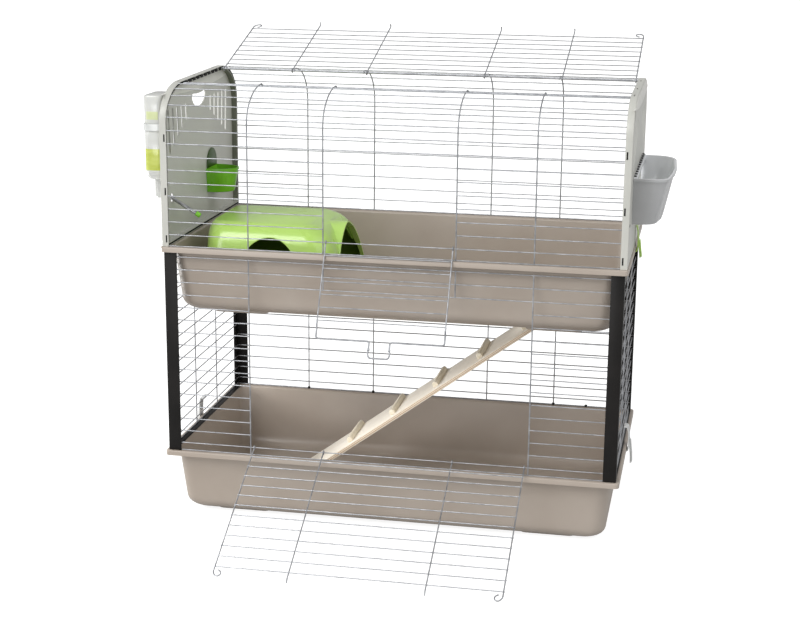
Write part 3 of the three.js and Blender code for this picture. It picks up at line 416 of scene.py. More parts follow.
form_tray("lower_tray", LOWER_RIM, False)
form_tray("upper_tray", UPPER_RIM, True)

# ---------------------------------------------------------------- posts and side rails
# Four black angle posts hold the upper tray. Each is moulded with a rounded edge, and small
# snap lugs on its legs grip the ends of the wires. A rail lies on the rim at each side.

POST_LEG = 28 * MM
POST_WALL = 2.5 * MM
POST_EDGE = 0.7 * MM
LUG_RADIUS = 1.5 * MM
LUG_LENGTH = 4.6 * MM
LUG_FROM_EDGE = 2.4 * MM
LUG_LIFT = 3.4 * MM
ROW_PITCH = 28 * MM
FIRST_ROW = 18 * MM
LOWER_ROWS = 16

black_plastic = material("black_plastic", moulded(
    (22, 21, 20), (30, 28, 27), rough=(0.34, 0.46), coat=0, scale=14, bump=0.2,
    bump_scale=1400, shine=0.2,
))


def drawn_outline(bm, points, travel):
    """A flat outline, drawn out along a straight line into a closed solid."""
    face = bm.faces.new([bm.verts.new(point) for point in points])
    made = bmesh.ops.extrude_face_region(bm, geom=[face])["geom"]
    verts = points_of(made)
    bmesh.ops.translate(bm, verts=verts, vec=travel)
    return list(face.verts) + verts


def rounded_edges(bm, verts, radius, segments=2):
    """Rounds every edge among some points."""
    inside = set(verts)
    edges = [edge for edge in bm.edges if edge.verts[0] in inside and edge.verts[1] in inside]
    bmesh.ops.bevel(
        bm, geom=edges, offset=radius, offset_type="OFFSET", segments=segments,
        profile=0.5, affect="EDGES", material=-1,
    )


def stud(bm, place, axis, radius, length, sides=12):
    """A short round stud along an axis, its middle at a place."""
    turn = Vector(axis).to_track_quat("Z", "Y").to_matrix().to_4x4()
    return bmesh.ops.create_cone(
        bm, cap_ends=True, segments=sides, radius1=radius, radius2=radius, depth=length,
        matrix=Matrix.Translation(place) @ turn,
    )["verts"]


def form_post(name):
    low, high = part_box(name)
    side_x = math.copysign(1, low.x)
    side_y = math.copysign(1, low.y)
    x = high.x if side_x > 0 else low.x
    y = high.y if side_y > 0 else low.y
    outline = [
        (x, y), (x - side_x * POST_LEG, y),
        (x - side_x * POST_LEG, y - side_y * POST_WALL),
        (x - side_x * POST_WALL, y - side_y * POST_WALL),
        (x - side_x * POST_WALL, y - side_y * POST_LEG),
        (x, y - side_y * POST_LEG),
    ]
    bm = bmesh.new()
    verts = drawn_outline(bm, [(a, b, low.z) for a, b in outline], (0, 0, high.z - low.z))
    rounded_edges(bm, verts, POST_EDGE)
    for row in range(LOWER_ROWS):
        z = LOWER_RIM + FIRST_ROW + ROW_PITCH * row + LUG_LIFT
        back = POST_WALL + LUG_LENGTH / 2 - 0.6 * MM
        out = POST_LEG - LUG_FROM_EDGE
        stud(bm, (x - side_x * out, y - side_y * back, z), (0, 1, 0), LUG_RADIUS, LUG_LENGTH)
        stud(bm, (x - side_x * back, y - side_y * out, z), (1, 0, 0), LUG_RADIUS, LUG_LENGTH)
    finish_piece(name + "_angle", bm, black_plastic, "cage", [name])


def form_rail(name):
    low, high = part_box(name)
    bm = bmesh.new()
    outline = [(low.x, low.z), (high.x, low.z), (high.x, high.z), (low.x, high.z)]
    verts = drawn_outline(bm, [(x, low.y, z) for x, z in outline], (0, high.y - low.y, 0))
    rounded_edges(bm, verts, 0.6 * MM)
    finish_piece(name + "_strip", bm, black_plastic, "cage", [name])


for post in ("post_front_left", "post_front_right", "post_rear_left", "post_rear_right"):
    form_post(post)
for rail in ("side_rail_left", "side_rail_right"):
    form_rail(rail)

# ---------------------------------------------------------------- lower grilles
# Grilles of zinc-plated wire, round in section: thin rows welded to thicker uprights, with
# a sill wire that lies on the rim. The front one leaves a wide doorway, and the rear one,
# of thicker wire, has black plugs at the feet of its uprights.

WIRE = 2.4 * MM
REAR_WIRE = 3 * MM
UPRIGHT = 3 * MM
OUTER_UPRIGHT = 306 * MM
INNER_UPRIGHT = 142 * MM
SIDE_UPRIGHT = 78 * MM
PLUGS_AT = (-OUTER_UPRIGHT, -INNER_UPRIGHT, OUTER_UPRIGHT, 385 * MM)
PLUG_RADIUS = 3.4 * MM
PLUG_LENGTH = 5 * MM
DOOR_ROWS = 13
GRILLE_Y = 259 * MM
GRILLE_X = 489 * MM


def drawn_metal(low, high, scale, rough, metal, grain_scale, depth):
    """Bright metal, a little cloudy, with a drawn grain."""
    def paint(add, link, shader, place):
        colour, drift = two_tone(add, place, srgb(*low), srgb(*high), scale, detail=6)
        link(colour, shader.inputs["Base Color"])
        uneven_gloss(add, link, shader, drift, rough[0], rough[1])
        shader.inputs["Metallic"].default_value = metal
        grain(add, link, shader, place, grain_scale, depth, 0.0002)
    return paint


zinc_wire = material("zinc_wire", drawn_metal(
    (150, 152, 156), (184, 186, 190), 55, (0.3, 0.5), 0.75, 2600, 0.15,
))


def draw_wire(bm, path, thick=WIRE, sides=8):
    """A round wire bent along a path, closed at both ends."""
    points = [Vector(point) for point in path]
    heads = [(b - a).normalized() for a, b in zip(points, points[1:])]
    level = [heads[0]]
    level += [(one + other).normalized() for one, other in zip(heads, heads[1:])]
    level.append(heads[-1])
    turn = heads[0].to_track_quat("Z", "Y").to_matrix().to_4x4()
    made = bmesh.ops.create_circle(
        bm, cap_ends=True, radius=thick / 2, segments=sides,
        matrix=Matrix.Translation(points[0]) @ turn,
    )["verts"]
    end = made[0].link_faces[0]
    drawn = list(made)
    for i in range(1, len(points)):
        geom = bmesh.ops.extrude_face_region(bm, geom=[end])["geom"]
        verts = points_of(geom)
        end = [part for part in geom if isinstance(part, bmesh.types.BMFace)][0]
        bend = level[i - 1].rotation_difference(level[i]).to_matrix().to_4x4()
        move = Matrix.Translation(points[i]) @ bend @ Matrix.Translation(-points[i - 1])
        bmesh.ops.transform(bm, matrix=move, verts=verts)
        drawn += verts
    return drawn


def row_x(bm, x0, x1, y, z, thick=WIRE):
    draw_wire(bm, [(x0, y, z), (x1, y, z)], thick)


def row_z(row):
    return LOWER_RIM + FIRST_ROW + ROW_PITCH * (row - 1)


row_end = GRILLE_X + WIRE / 2
lower_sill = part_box("lower_front_grille")[0].z + WIRE / 2
lower_top = row_z(LOWER_ROWS) + WIRE / 2 + MM


def form_front_grille():
    y = -GRILLE_Y
    bm = bmesh.new()
    row_x(bm, -row_end, row_end, y, lower_sill)
    for row in range(1, LOWER_ROWS + 1):
        if 1 < row < DOOR_ROWS + 1:
            row_x(bm, -row_end, -OUTER_UPRIGHT, y, row_z(row))
            row_x(bm, OUTER_UPRIGHT, row_end, y, row_z(row))
        else:
            row_x(bm, -row_end, row_end, y, row_z(row))
    for side in (-1, 1):
        for x, foot in ((OUTER_UPRIGHT, lower_sill), (INNER_UPRIGHT, row_z(DOOR_ROWS + 1))):
            draw_wire(bm, [(side * x, y, foot), (side * x, y, lower_top)], UPRIGHT)
    finish_piece("lower_front_wires", bm, zinc_wire, "cage", ["lower_front_grille"])


def form_rear_grille():
    bm = bmesh.new()
    row_x(bm, -row_end, row_end, GRILLE_Y, lower_sill, REAR_WIRE)
    for row in range(1, LOWER_ROWS + 1):
        row_x(bm, -row_end, row_end, GRILLE_Y, row_z(row), REAR_WIRE)
    for x in (-OUTER_UPRIGHT, -INNER_UPRIGHT, INNER_UPRIGHT, OUTER_UPRIGHT):
        draw_wire(bm, [(x, GRILLE_Y, lower_sill), (x, GRILLE_Y, lower_top)], UPRIGHT)
    finish_piece("lower_rear_wires", bm, zinc_wire, "cage", ["lower_rear_grille"])
    bm = bmesh.new()
    for x in PLUGS_AT:
        foot = (x, GRILLE_Y, LOWER_RIM + PLUG_LENGTH / 2 + 0.1 * MM)
        plug = stud(bm, foot, (0, 0, 1), PLUG_RADIUS, PLUG_LENGTH, 16)
        rounded_edges(bm, plug, 0.6 * MM)
    finish_piece("rear_plugs", bm, black_plastic, "cage")


def form_side_grille(side):
    node = "lower_left_grille" if side < 0 else "lower_right_grille"
    low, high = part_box(node)
    sill = low.z + WIRE / 2
    x = side * GRILLE_X
    bm = bmesh.new()
    for z in [sill] + [row_z(row) for row in range(1, LOWER_ROWS + 1)]:
        draw_wire(bm, [(x, low.y, z), (x, high.y, z)])
    for y in (-SIDE_UPRIGHT, SIDE_UPRIGHT):
        draw_wire(bm, [(x, y, sill), (x, y, lower_top)], UPRIGHT)
    finish_piece(node + "_wires", bm, zinc_wire, "cage", [node])


form_front_grille()
form_rear_grille()
form_side_grille(-1)
form_side_grille(1)

# ---------------------------------------------------------------- doors and roof lid
# Each door is a leaf of the same wires that hangs by bent eyes on a row of its grille. The
# lower one lies open in front, the upper one hangs down, and the roof lid stands open. They
# are drawn shut and upright, and are then swung open.

DOOR_GAP = 8 * MM
UPPER_DOOR_GAP = 6 * MM
UPPER_DOOR_ROWS = 7
UPPER_DOOR_LEAN = 27
DOOR_EYE = WIRE * 0.92
FRAME_WIRE = UPRIGHT * 1.3
LATCH_WIRE = UPRIGHT * 1.2
LATCH_HALF = 22 * MM
LATCH_RISE = 35 * MM
LEAF_DROP = 10 * MM
HOOK_DEPTH = 4 * MM
LID_HOOK_DEPTH = 7 * MM
DOOR_TIP_LIFT = 4 * MM
LID_TILT = 17
LID_ROWS = 9
LID_HALF = 476 * MM
LID_SHIFT = 6 * MM
BAR = 5 * MM
ROOF_BACK = 140 * MM
PLAY = 0.8 * MM

lower_pivot = row_z(1)
upper_pivot = UPPER_RIM + 26 * MM
front_bar_z = UPPER_RIM + 337 * MM
rear_bar_z = UPPER_RIM + 342 * MM


def leaf_upright(bm, x, bore, top):
    """A leaf's upright, its foot bent into an eye round a wire of the grille."""
    radius = bore + UPRIGHT / 2
    eye = [
        (x, -radius * math.sin(angle), -radius * math.cos(angle))
        for angle in [math.radians(-150 + 330 * i / 14) for i in range(15)]
    ]
    draw_wire(bm, eye + [(x, 0, top)], UPRIGHT)


def end_loop(bm, x, start, reach):
    """The open ring that the end of a leaf's outer wire is bent into."""
    inwards = -math.copysign(1, x)
    height = reach - start - UPRIGHT / 2
    curl = [(0, 0), (0, 0.55), (0.1, 0.8), (0.28, 0.96), (0.48, 0.98), (0.64, 0.84), (0.66, 0.62),
            (0.52, 0.42), (0.36, 0.34)]
    draw_wire(bm, [(x + inwards * a * height, 0, start + b * height) for a, b in curl], UPRIGHT)


def swing(bm, place, degrees):
    turn = Matrix.Translation(place) @ Matrix.Rotation(math.radians(degrees), 4, "X")
    bmesh.ops.transform(bm, matrix=turn, verts=bm.verts[:])


def form_lower_door():
    bm = bmesh.new()
    half = OUTER_UPRIGHT - DOOR_GAP
    reach = ROW_PITCH * DOOR_ROWS - WIRE / 2 - PLAY
    last = ROW_PITCH * (DOOR_ROWS - 1)
    for row in range(1, DOOR_ROWS):
        row_x(bm, -half - WIRE, half + WIRE, 0, ROW_PITCH * row)
    for side in (-1, 1):
        leaf_upright(bm, side * half, DOOR_EYE, last)
        end_loop(bm, side * half, last, reach)
        leaf_upright(bm, side * INNER_UPRIGHT, DOOR_EYE, last)
        draw_wire(bm, [
            (side * INNER_UPRIGHT, 0, last), (side * INNER_UPRIGHT, 0, reach - 12 * MM),
            (side * INNER_UPRIGHT, -HOOK_DEPTH * 0.4, reach - 7 * MM),
            (side * INNER_UPRIGHT, -HOOK_DEPTH, reach - 2.4 * MM),
        ], UPRIGHT)
    open_by = 180 - math.degrees(math.acos((lower_pivot - DOOR_TIP_LIFT) / reach))
    swing(bm, (0, -GRILLE_Y, lower_pivot), open_by)
    finish_piece("lower_door_leaf", bm, zinc_wire, "lower_door", ["lower_front_door"])


def form_upper_door():
    """The leaf's frame wire steps out past its last row and dips into a latch in the middle."""
    bm = bmesh.new()
    half = INNER_UPRIGHT - UPPER_DOOR_GAP
    last = ROW_PITCH * (UPPER_DOOR_ROWS - 1)
    low = ROW_PITCH * UPPER_DOOR_ROWS + LEAF_DROP
    drop = low - last
    out = -HOOK_DEPTH
    for row in range(1, UPPER_DOOR_ROWS):
        row_x(bm, -half, half, 0, ROW_PITCH * row)
    for side in (-1, 1):
        leaf_upright(bm, side * half, DOOR_EYE, last)
        frame_wire = [
            (half, 0, 0), (half, 0, 8 * MM), (half, out, 16 * MM), (half, out, drop - 4.5 * MM),
            (half - 1.4 * MM, out, drop - 1.4 * MM), (half - 4.5 * MM, out, drop),
            (LATCH_HALF + 4 * MM, out, drop), (LATCH_HALF + 1.2 * MM, out, drop + 1.2 * MM),
            (LATCH_HALF, out, drop + 4 * MM), (LATCH_HALF, out, drop + LATCH_RISE / 2),
        ]
        draw_wire(bm, [(side * x, y, last + z) for x, y, z in frame_wire], FRAME_WIRE)
        bead = (side * LATCH_HALF, out - MM, low + LATCH_RISE / 2)
        stud(bm, bead, (1, 0, 0), 2.4 * MM, 4.6 * MM)
    back = out - 2.4 * MM
    tip = low + LATCH_RISE
    latch = [
        (LATCH_HALF, back, low + LATCH_RISE / 2 - 2 * MM),
        (LATCH_HALF + 1.5 * MM, back, low + LATCH_RISE * 0.7),
        (LATCH_HALF, back, tip - 4 * MM), (LATCH_HALF - 2 * MM, back, tip - 1.2 * MM),
        (LATCH_HALF - 5 * MM, back, tip),
    ]
    draw_wire(bm, [(-x, y, z) for x, y, z in latch] + latch[::-1], LATCH_WIRE)
    swing(bm, (0, -GRILLE_Y, upper_pivot), 180 - UPPER_DOOR_LEAN)
    finish_piece("upper_door_leaf", bm, zinc_wire, "upper_door", ["upper_front_door"])


def form_lid():
    bm = bmesh.new()
    reach = math.hypot(2 * ROOF_BACK, rear_bar_z - front_bar_z)
    bore = BAR / 2 / math.cos(math.pi / 8) + 0.3 * MM
    last = ROW_PITCH * LID_ROWS
    hook_at = reach + BAR / 2 + UPRIGHT / 2 + PLAY * 2
    for row in range(1, LID_ROWS + 1):
        row_x(bm, -LID_HALF - WIRE, LID_HALF + WIRE, 0, ROW_PITCH * row)
    for side in (-1, 1):
        leaf_upright(bm, side * LID_HALF, bore, last)
        end_loop(bm, side * LID_HALF, last, last + ROW_PITCH)
        for x in (side * (OUTER_UPRIGHT + LID_SHIFT), side * (INNER_UPRIGHT - LID_SHIFT)):
            leaf_upright(bm, x, bore, last)
            draw_wire(bm, [
                (x, 0, last), (x, 0, hook_at - 3 * MM), (x, -0.6 * MM, hook_at - 1.2 * MM),
                (x, -2 * MM, hook_at - 0.2 * MM), (x, -3.4 * MM, hook_at), (x, -LID_HOOK_DEPTH, hook_at),
            ], UPRIGHT)
    swing(bm, (0, ROOF_BACK, rear_bar_z), LID_TILT - 90)
    finish_piece("roof_lid_leaf", bm, zinc_wire, "lid", ["roof_lid"])


form_lower_door()
form_upper_door()
form_lid()

# ---------------------------------------------------------------- roof bars, upper grilles
# Two steel bars span the end panels. The uprights of the upper grilles rise from the rim,
# curve back and hook over the bars. The front grille leaves a small doorway.

FRONT_CURVE = 74 * MM
REAR_CURVE = 88 * MM
ROWS_STOP = 22 * MM

roof_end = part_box("front_roof_bar")[1].x
upper_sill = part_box("upper_front_grille")[0].z + WIRE / 2


def arc(a, b, radius_a, radius_b, start, end, steps):
    """Points along an elliptical arc, angles in degrees."""
    angles = [math.radians(start + (end - start) * i / steps) for i in range(steps + 1)]
    return [(a + radius_a * math.cos(t), b + radius_b * math.sin(t)) for t in angles]


def form_bar(name, side, z):
    bm = bmesh.new()
    y = side * ROOF_BACK
    end = roof_end - 0.8 * MM
    draw_wire(bm, [(-end, y, z), (end, y, z)], BAR, 16)
    for tip in (-1, 1):
        face = [f for f in bm.faces if len(f.verts) == 16 and f.calc_center_median().x * tip > 0][0]
        bmesh.ops.inset_region(bm, faces=[face], thickness=0.8 * MM)
        bmesh.ops.translate(bm, verts=list(face.verts), vec=(tip * 0.8 * MM, 0, 0))
    finish_piece(name + "_rod", bm, zinc_wire, "cage", [name])


def curved_upright(side, bar_z, rise, hook_radius):
    """The path of an upright in (y, z), from the rim, and how many points come before its hook."""
    sweep = arc(ROOF_BACK, bar_z + hook_radius - rise, GRILLE_Y - ROOF_BACK, rise, 0, 90, 12)
    hook = arc(ROOF_BACK, bar_z, hook_radius, hook_radius, 110, 210, 5)
    path = [(GRILLE_Y, upper_sill)] + sweep + hook
    return [(side * y, z) for y, z in path], 1 + len(sweep)


def rows_along(path):
    """The places, every pitch along an upright, where it carries a row."""
    places = []
    wanted = upper_pivot
    travelled = path[0][1]
    for (y0, z0), (y1, z1) in zip(path, path[1:]):
        length = math.hypot(y1 - y0, z1 - z0)
        while wanted <= travelled + length:
            share = (wanted - travelled) / length
            places.append((y0 + (y1 - y0) * share, z0 + (z1 - z0) * share))
            wanted += ROW_PITCH
        travelled += length
    return places


def form_upper_grille(node, side, bar_z, rise, doorway):
    bm = bmesh.new()
    hook_radius = BAR / 2 + 0.3 * MM + UPRIGHT / 2
    path, straight = curved_upright(side, bar_z, rise, hook_radius)
    row_x(bm, -roof_end, roof_end, side * GRILLE_Y, upper_sill)
    for row, (y, z) in enumerate(rows_along(path[:straight]), start=1):
        if abs(y - side * ROOF_BACK) < ROWS_STOP:
            continue
        if doorway and 1 < row < UPPER_DOOR_ROWS + 1:
            row_x(bm, -roof_end, -INNER_UPRIGHT, y, z)
            row_x(bm, INNER_UPRIGHT, roof_end, y, z)
        else:
            row_x(bm, -roof_end, roof_end, y, z)
    for x in (-OUTER_UPRIGHT, -INNER_UPRIGHT, INNER_UPRIGHT, OUTER_UPRIGHT):
        draw_wire(bm, [(x, y, z) for y, z in path], UPRIGHT)
    finish_piece(node + "_wires", bm, zinc_wire, "cage", [node])


form_bar("front_roof_bar", -1, front_bar_z)
form_bar("rear_roof_bar", 1, rear_bar_z)
form_upper_grille("upper_front_grille", -1, front_bar_z, FRONT_CURVE, True)
form_upper_grille("upper_rear_grille", 1, rear_bar_z, REAR_CURVE, False)

# ---------------------------------------------------------------- end panels
# Two pale grey moulded panels with a deep band, a near-black fill in its groove as painted
# shadow, a dark lining on the band's inner walls as painted shade, and a raised top. Both have
# air slots. The left one has a hole for the fingers and one for the drinking tube, the right
# one a small slot and a row of slots for hay.

PANEL_OUT = 497 * MM
PANEL_IN = 482 * MM
PLATE_IN = 494.5 * MM
PANEL_BAND = 7.4 * MM
GROOVE = (1.5 * MM, 6.2 * MM)
GROOVE_DEEP = 9 * MM
SLOT_HALF = 4.6 * MM
EDGE_SLOTS = (234 * MM, 119.5 * MM, 17 * MM)
TOP_NOTCHES = (-148, -41, 94, 150)
PANEL_Y = 262 * MM
OVER_BAR = 6 * MM
HOOK_OVER_BAR = 4.3 * MM
TUBE_PLACE = (-195 * MM, UPPER_RIM + 95 * MM)

pale_plastic = material("pale_grey_plastic", moulded(
    (190, 190, 183), (198, 198, 191), rough=(0.34, 0.46), coat=0.1, scale=5, bump=0.1, bump_scale=1100,
))
# Near-black plastic: painted shadow in the panels' groove and slots, and a dark dot on the outer face.
shadow_and_dot_black = material("shadow_and_dot_black", moulded(
    (26, 26, 25), (34, 34, 32), rough=(0.6, 0.75), coat=0, scale=30, bump=0.3, bump_scale=1600, shine=0.2,
))
bright_plastic = material("bright_plastic", moulded(
    (216, 215, 209), (224, 223, 217), rough=(0.34, 0.46), coat=0.1, scale=5, bump=0.1, bump_scale=1100,
))
# Dark grey-green: painted shade on the inner walls of the panels' band.
shadow_lining = material("shadow_lining", moulded(
    (112, 114, 103), (124, 126, 114), rough=(0.55, 0.7), coat=0, scale=20, bump=0.25,
    bump_scale=1400, shine=0.25,
))


def panel_outline(inset):
    """The outline of a panel in (y, z). Its top corners follow the curves of the grilles."""
    rear_top = rear_bar_z + OVER_BAR - inset
    front_top = front_bar_z + OVER_BAR - inset
    grow = OVER_BAR - HOOK_OVER_BAR - inset
    side = PANEL_Y - inset
    foot = UPPER_RIM + 0.3 * MM + inset
    return [(-side, foot), (side, foot)] + arc(
        ROOF_BACK, rear_top - REAR_CURVE - grow, side - ROOF_BACK, REAR_CURVE + grow, 0, 90, 14,
    ) + arc(
        -ROOF_BACK, front_top - FRONT_CURVE - grow, side - ROOF_BACK, FRONT_CURVE + grow, 90, 180, 14,
    )


def rounded_ends(bm, axis, radius, segments):
    """Rounds the edges that lie square to an axis, such as those round a slab's two faces."""
    rim = [e for e in bm.edges if abs(e.verts[0].co[axis] - e.verts[1].co[axis]) < 1e-6]
    bmesh.ops.bevel(
        bm, geom=rim, offset=radius, offset_type="OFFSET", segments=segments, profile=0.5,
        affect="EDGES", material=-1,
    )


def slab(outline, x0, x1, edge=0.0, segments=2):
    """A flat outline in (y, z) made a slab between two planes, its far edges rounded."""
    bm = bmesh.new()
    drawn_outline(bm, [(x0, y, z) for y, z in outline], (x1 - x0, 0, 0))
    bmesh.ops.recalc_face_normals(bm, faces=bm.faces)
    if edge:
        rounded_ends(bm, 0, edge, segments)
    return bm


def as_object(bm, name):
    mesh = bpy.data.meshes.new(name)
    bm.to_mesh(mesh)
    bm.free()
    thing = bpy.data.objects.new(name, mesh)
    bpy.context.collection.objects.link(thing)
    return thing


def worked(bm, tool, operation="DIFFERENCE"):
    """One closed solid cut by another, or joined to it."""
    blank = as_object(bm, "blank")
    cutter = as_object(tool, "cutter")
    step = blank.modifiers.new("step", "BOOLEAN")
    step.operation = operation
    step.solver = "EXACT"
    step.object = cutter
    depsgraph = bpy.context.evaluated_depsgraph_get()
    made = bpy.data.meshes.new_from_object(blank.evaluated_get(depsgraph))
    result = bmesh.new()
    result.from_mesh(made)
    for thing in (blank, cutter):
        mesh = thing.data
        bpy.data.objects.remove(thing)
        bpy.data.meshes.remove(mesh)
    bpy.data.meshes.remove(made)
    return result


def shield():
    half = [(14, 1.4), (28, 0), (42, -1), (47, 1), (49, 6), (46, 13), (38, 21), (24, 27.5), (8, 30)]
    right = [(4 + a, 301 - b) for a, b in half]
    left = [(4 - a, 301 - b) for a, b in reversed(half)]
    return [(y * MM, UPPER_RIM + z * MM) for y, z in right + left]


def grip_slot():
    """A small slot high in the front corner of the right panel."""
    y, z = -221 * MM, UPPER_RIM + 310 * MM
    top = arc(y, z + 5 * MM, 8 * MM, 6 * MM, 0, 180, 6)
    return top + arc(y, z - 5 * MM, 8 * MM, 6 * MM, 180, 360, 6)


def air_slots():
    """Two fans of slots, longer towards the sides, each leaning outwards."""
    slots = []
    for i in range(5):
        length = (38 + 15 * i) * MM
        z = UPPER_RIM + 288 * MM - length / 2
        for side in (-1, 1):
            y = side * (88 + 29 * i) * MM
            lean = math.radians(5) * side
            tip = arc(0, length / 2 - SLOT_HALF, SLOT_HALF, SLOT_HALF, 0, 180, 6)
            outline = tip + [(-a, -b) for a, b in tip]
            across, along = math.cos(lean), math.sin(lean)
            slots.append([
                (y + a * across + b * along, z - a * along + b * across) for a, b in outline
            ])
    return slots


def hay_slots():
    low = UPPER_RIM + 99 * MM
    high = UPPER_RIM + 161 * MM
    slots = []
    for i in range(9):
        y = (-10 + (i - 4) * 34) * MM
        tip = arc(y, high - 6 * MM, 6 * MM, 6 * MM, 0, 180, 6)
        foot = arc(y, low + 6 * MM, 6 * MM, 6 * MM, 180, 360, 6)
        slots.append(tip + foot)
    return slots


def cut_through(bm, side, outlines):
    tool = bmesh.new()
    inner = side * (PLATE_IN - MM)
    for outline in outlines:
        drawn_outline(tool, [(inner, y, z) for y, z in outline], (side * 4.5 * MM, 0, 0))
    bmesh.ops.recalc_face_normals(tool, faces=tool.faces)
    return worked(bm, tool)


def sunk_box(bm, low, high):
    """A box between two corners, added to a mesh or to a cutter."""
    middle = (Vector(low) + Vector(high)) / 2
    size = Vector(high) - Vector(low)
    place = Matrix.Translation(middle) @ Matrix.Diagonal((abs(size.x), abs(size.y), abs(size.z), 1))
    return bmesh.ops.create_cube(bm, size=1, matrix=place)["verts"]


def ring_slab(outer, inner, x0, x1):
    """The band between two insets of the panel's outline, from one plane to another."""
    band = slab(panel_outline(outer), x0, x1)
    past = math.copysign(MM, x1 - x0)
    return worked(band, slab(panel_outline(inner), x0 - past, x1 + past))


def raised_top(side):
    """The top of the outer face stands a little proud, down to a line that sags."""
    edge = [point for point in panel_outline(3.2 * MM)[2:] if point[1] > UPPER_RIM + 323 * MM]
    sag = [(y * 24.5 * MM, UPPER_RIM + (309 + 0.14 * y * y) * MM) for y in range(-10, 11)]
    return slab(edge + sag, side * (PANEL_OUT - 3 * MM), side * (PANEL_OUT + 1.4 * MM), 0.6 * MM)


def under_roof_line(y):
    """The height of the panel's top edge above a place, between the two bars."""
    middle = (front_bar_z + rear_bar_z) / 2 + OVER_BAR
    return middle + y / (2 * ROOF_BACK) * (rear_bar_z - front_bar_z)


def form_panel(name, side, holes):
    bm = slab(panel_outline(0), side * PANEL_IN, side * PANEL_OUT, 1.4 * MM, 3)
    bm = worked(bm, slab(panel_outline(PANEL_BAND), side * PLATE_IN, side * (PANEL_IN - MM)))
    bm = worked(bm, ring_slab(*GROOVE, side * (PANEL_IN + GROOVE_DEEP), side * (PANEL_IN - MM)))
    bm = cut_through(bm, side, air_slots() + holes)
    details = bmesh.new()
    for y in TOP_NOTCHES:
        top = rear_bar_z if y > 0 else front_bar_z + (y + 140) / 280 * 5 * MM
        sunk_box(
            details, (side * 488 * MM, (y - 9) * MM, top + 2 * MM),
            (side * 491 * MM, (y + 9) * MM, top + 12 * MM),
        )
    for z in EDGE_SLOTS:
        sunk_box(
            details, (side * 485 * MM, -PANEL_Y - MM, UPPER_RIM + z - 8 * MM),
            (side * 488.4 * MM, -PANEL_Y + 5 * MM, UPPER_RIM + z + 8 * MM),
        )
    bm = worked(bm, details)
    for i in range(-2, 3):
        y = i * 56 * MM
        z = under_roof_line(y)
        sunk_box(
            bm, (side * PANEL_IN, y - 2 * MM, z - 6.4 * MM),
            (side * (PANEL_IN + GROOVE_DEEP), y + 2 * MM, z - MM),
        )
    finish_piece(name + "_cap", raised_top(side), bright_plastic, "cage", recalc=False)
    finish_piece(name + "_plate", bm, pale_plastic, "cage", [name], recalc=False)
    # A near-black fill almost up to the face of the groove paints the shadow deep in it. Boxes of the same
    # black paint the shadow in the front-edge slots and in the slots under the roof line. A dark dot sits on
    # the outer face near the front edge.
    bm = ring_slab(
        GROOVE[0] + 0.2 * MM, GROOVE[1] - 0.2 * MM, side * (PANEL_IN + 1.2 * MM),
        side * (PANEL_IN + GROOVE_DEEP - 0.2 * MM),
    )
    for z in EDGE_SLOTS:
        sunk_box(
            bm, (side * 485.2 * MM, -PANEL_Y + 0.6 * MM, UPPER_RIM + z - 7.8 * MM),
            (side * 488.2 * MM, -PANEL_Y + 4.8 * MM, UPPER_RIM + z + 7.8 * MM),
        )
    dot = (side * (PANEL_OUT + 0.3 * MM), -252 * MM, UPPER_RIM + 90 * MM)
    stud(bm, dot, (1, 0, 0), 3 * MM, 1.2 * MM)
    for i in range(10):
        y = (-118 + i * 27) * MM
        z = under_roof_line(y)
        sunk_box(
            bm, (side * (PANEL_IN - 0.8 * MM), y - 9 * MM, z - 9 * MM),
            (side * (PANEL_IN + 3 * MM), y + 9 * MM, z - 3 * MM),
        )
    finish_piece(name + "_shadow_fill_and_dot", bm, shadow_and_dot_black, "cage", recalc=False)
    # A thin dark lining over the band's inner walls paints the shade that falls inside the band.
    bm = ring_slab(
        PANEL_BAND + 0.05 * MM, PANEL_BAND + 0.9 * MM, side * (PLATE_IN - 0.1 * MM),
        side * (PANEL_IN + 0.4 * MM),
    )
    below = bmesh.new()
    sunk_box(
        below, (side * 470 * MM, -0.3, UPPER_RIM - 10 * MM), (side * 505 * MM, 0.3, UPPER_RIM + 16 * MM),
    )
    bm = worked(bm, below)
    finish_piece(name + "_lining", bm, shadow_lining, "cage", recalc=False)


tube_hole = [arc(*TUBE_PLACE, 10 * MM, 10 * MM, 0, 345, 23)]
form_panel("left_end_panel", -1, [shield()] + tube_hole)
form_panel("right_end_panel", 1, [grip_slot()] + hay_slots())

# ---------------------------------------------------------------- ramp
# A plywood plank with five pine cleats nailed across it, set a little to the back. A bent
# steel hook, screwed to the tread, hangs it on the collar of the hatch.

RAMP_SLOPE = math.radians(36.5)
RAMP_HALF = 77.5 * MM
RAMP_THICK = 10 * MM
CLEAT_FIRST = 190
CLEAT_PITCH = 123
CLEAT_AT = [(CLEAT_FIRST + CLEAT_PITCH * i) * MM for i in range(5)]
CLEAT_HALF = 65 * MM
CLEAT_SET_BACK = 8 * MM
HOOK_HALF = 22 * MM

plank_low, plank_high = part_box("ramp_plank")
ramp_foot = Vector((plank_low.x, 0, plank_low.z + RAMP_THICK * math.cos(RAMP_SLOPE)))
ramp_length = (plank_high.z - ramp_foot.z) / math.sin(RAMP_SLOPE)
on_ramp = Matrix.Translation(ramp_foot) @ Matrix.Rotation(-RAMP_SLOPE, 4, "Y")


def along_ramp(add, place):
    """Object coordinates turned to run along the plank, across it and out of its tread."""
    moved = add("Mapping", {"Vector": place, "Location": tuple(-ramp_foot)})
    turned = add("Mapping", {"Vector": moved.outputs["Vector"], "Rotation": (0, RAMP_SLOPE, 0)})
    return turned.outputs["Vector"]


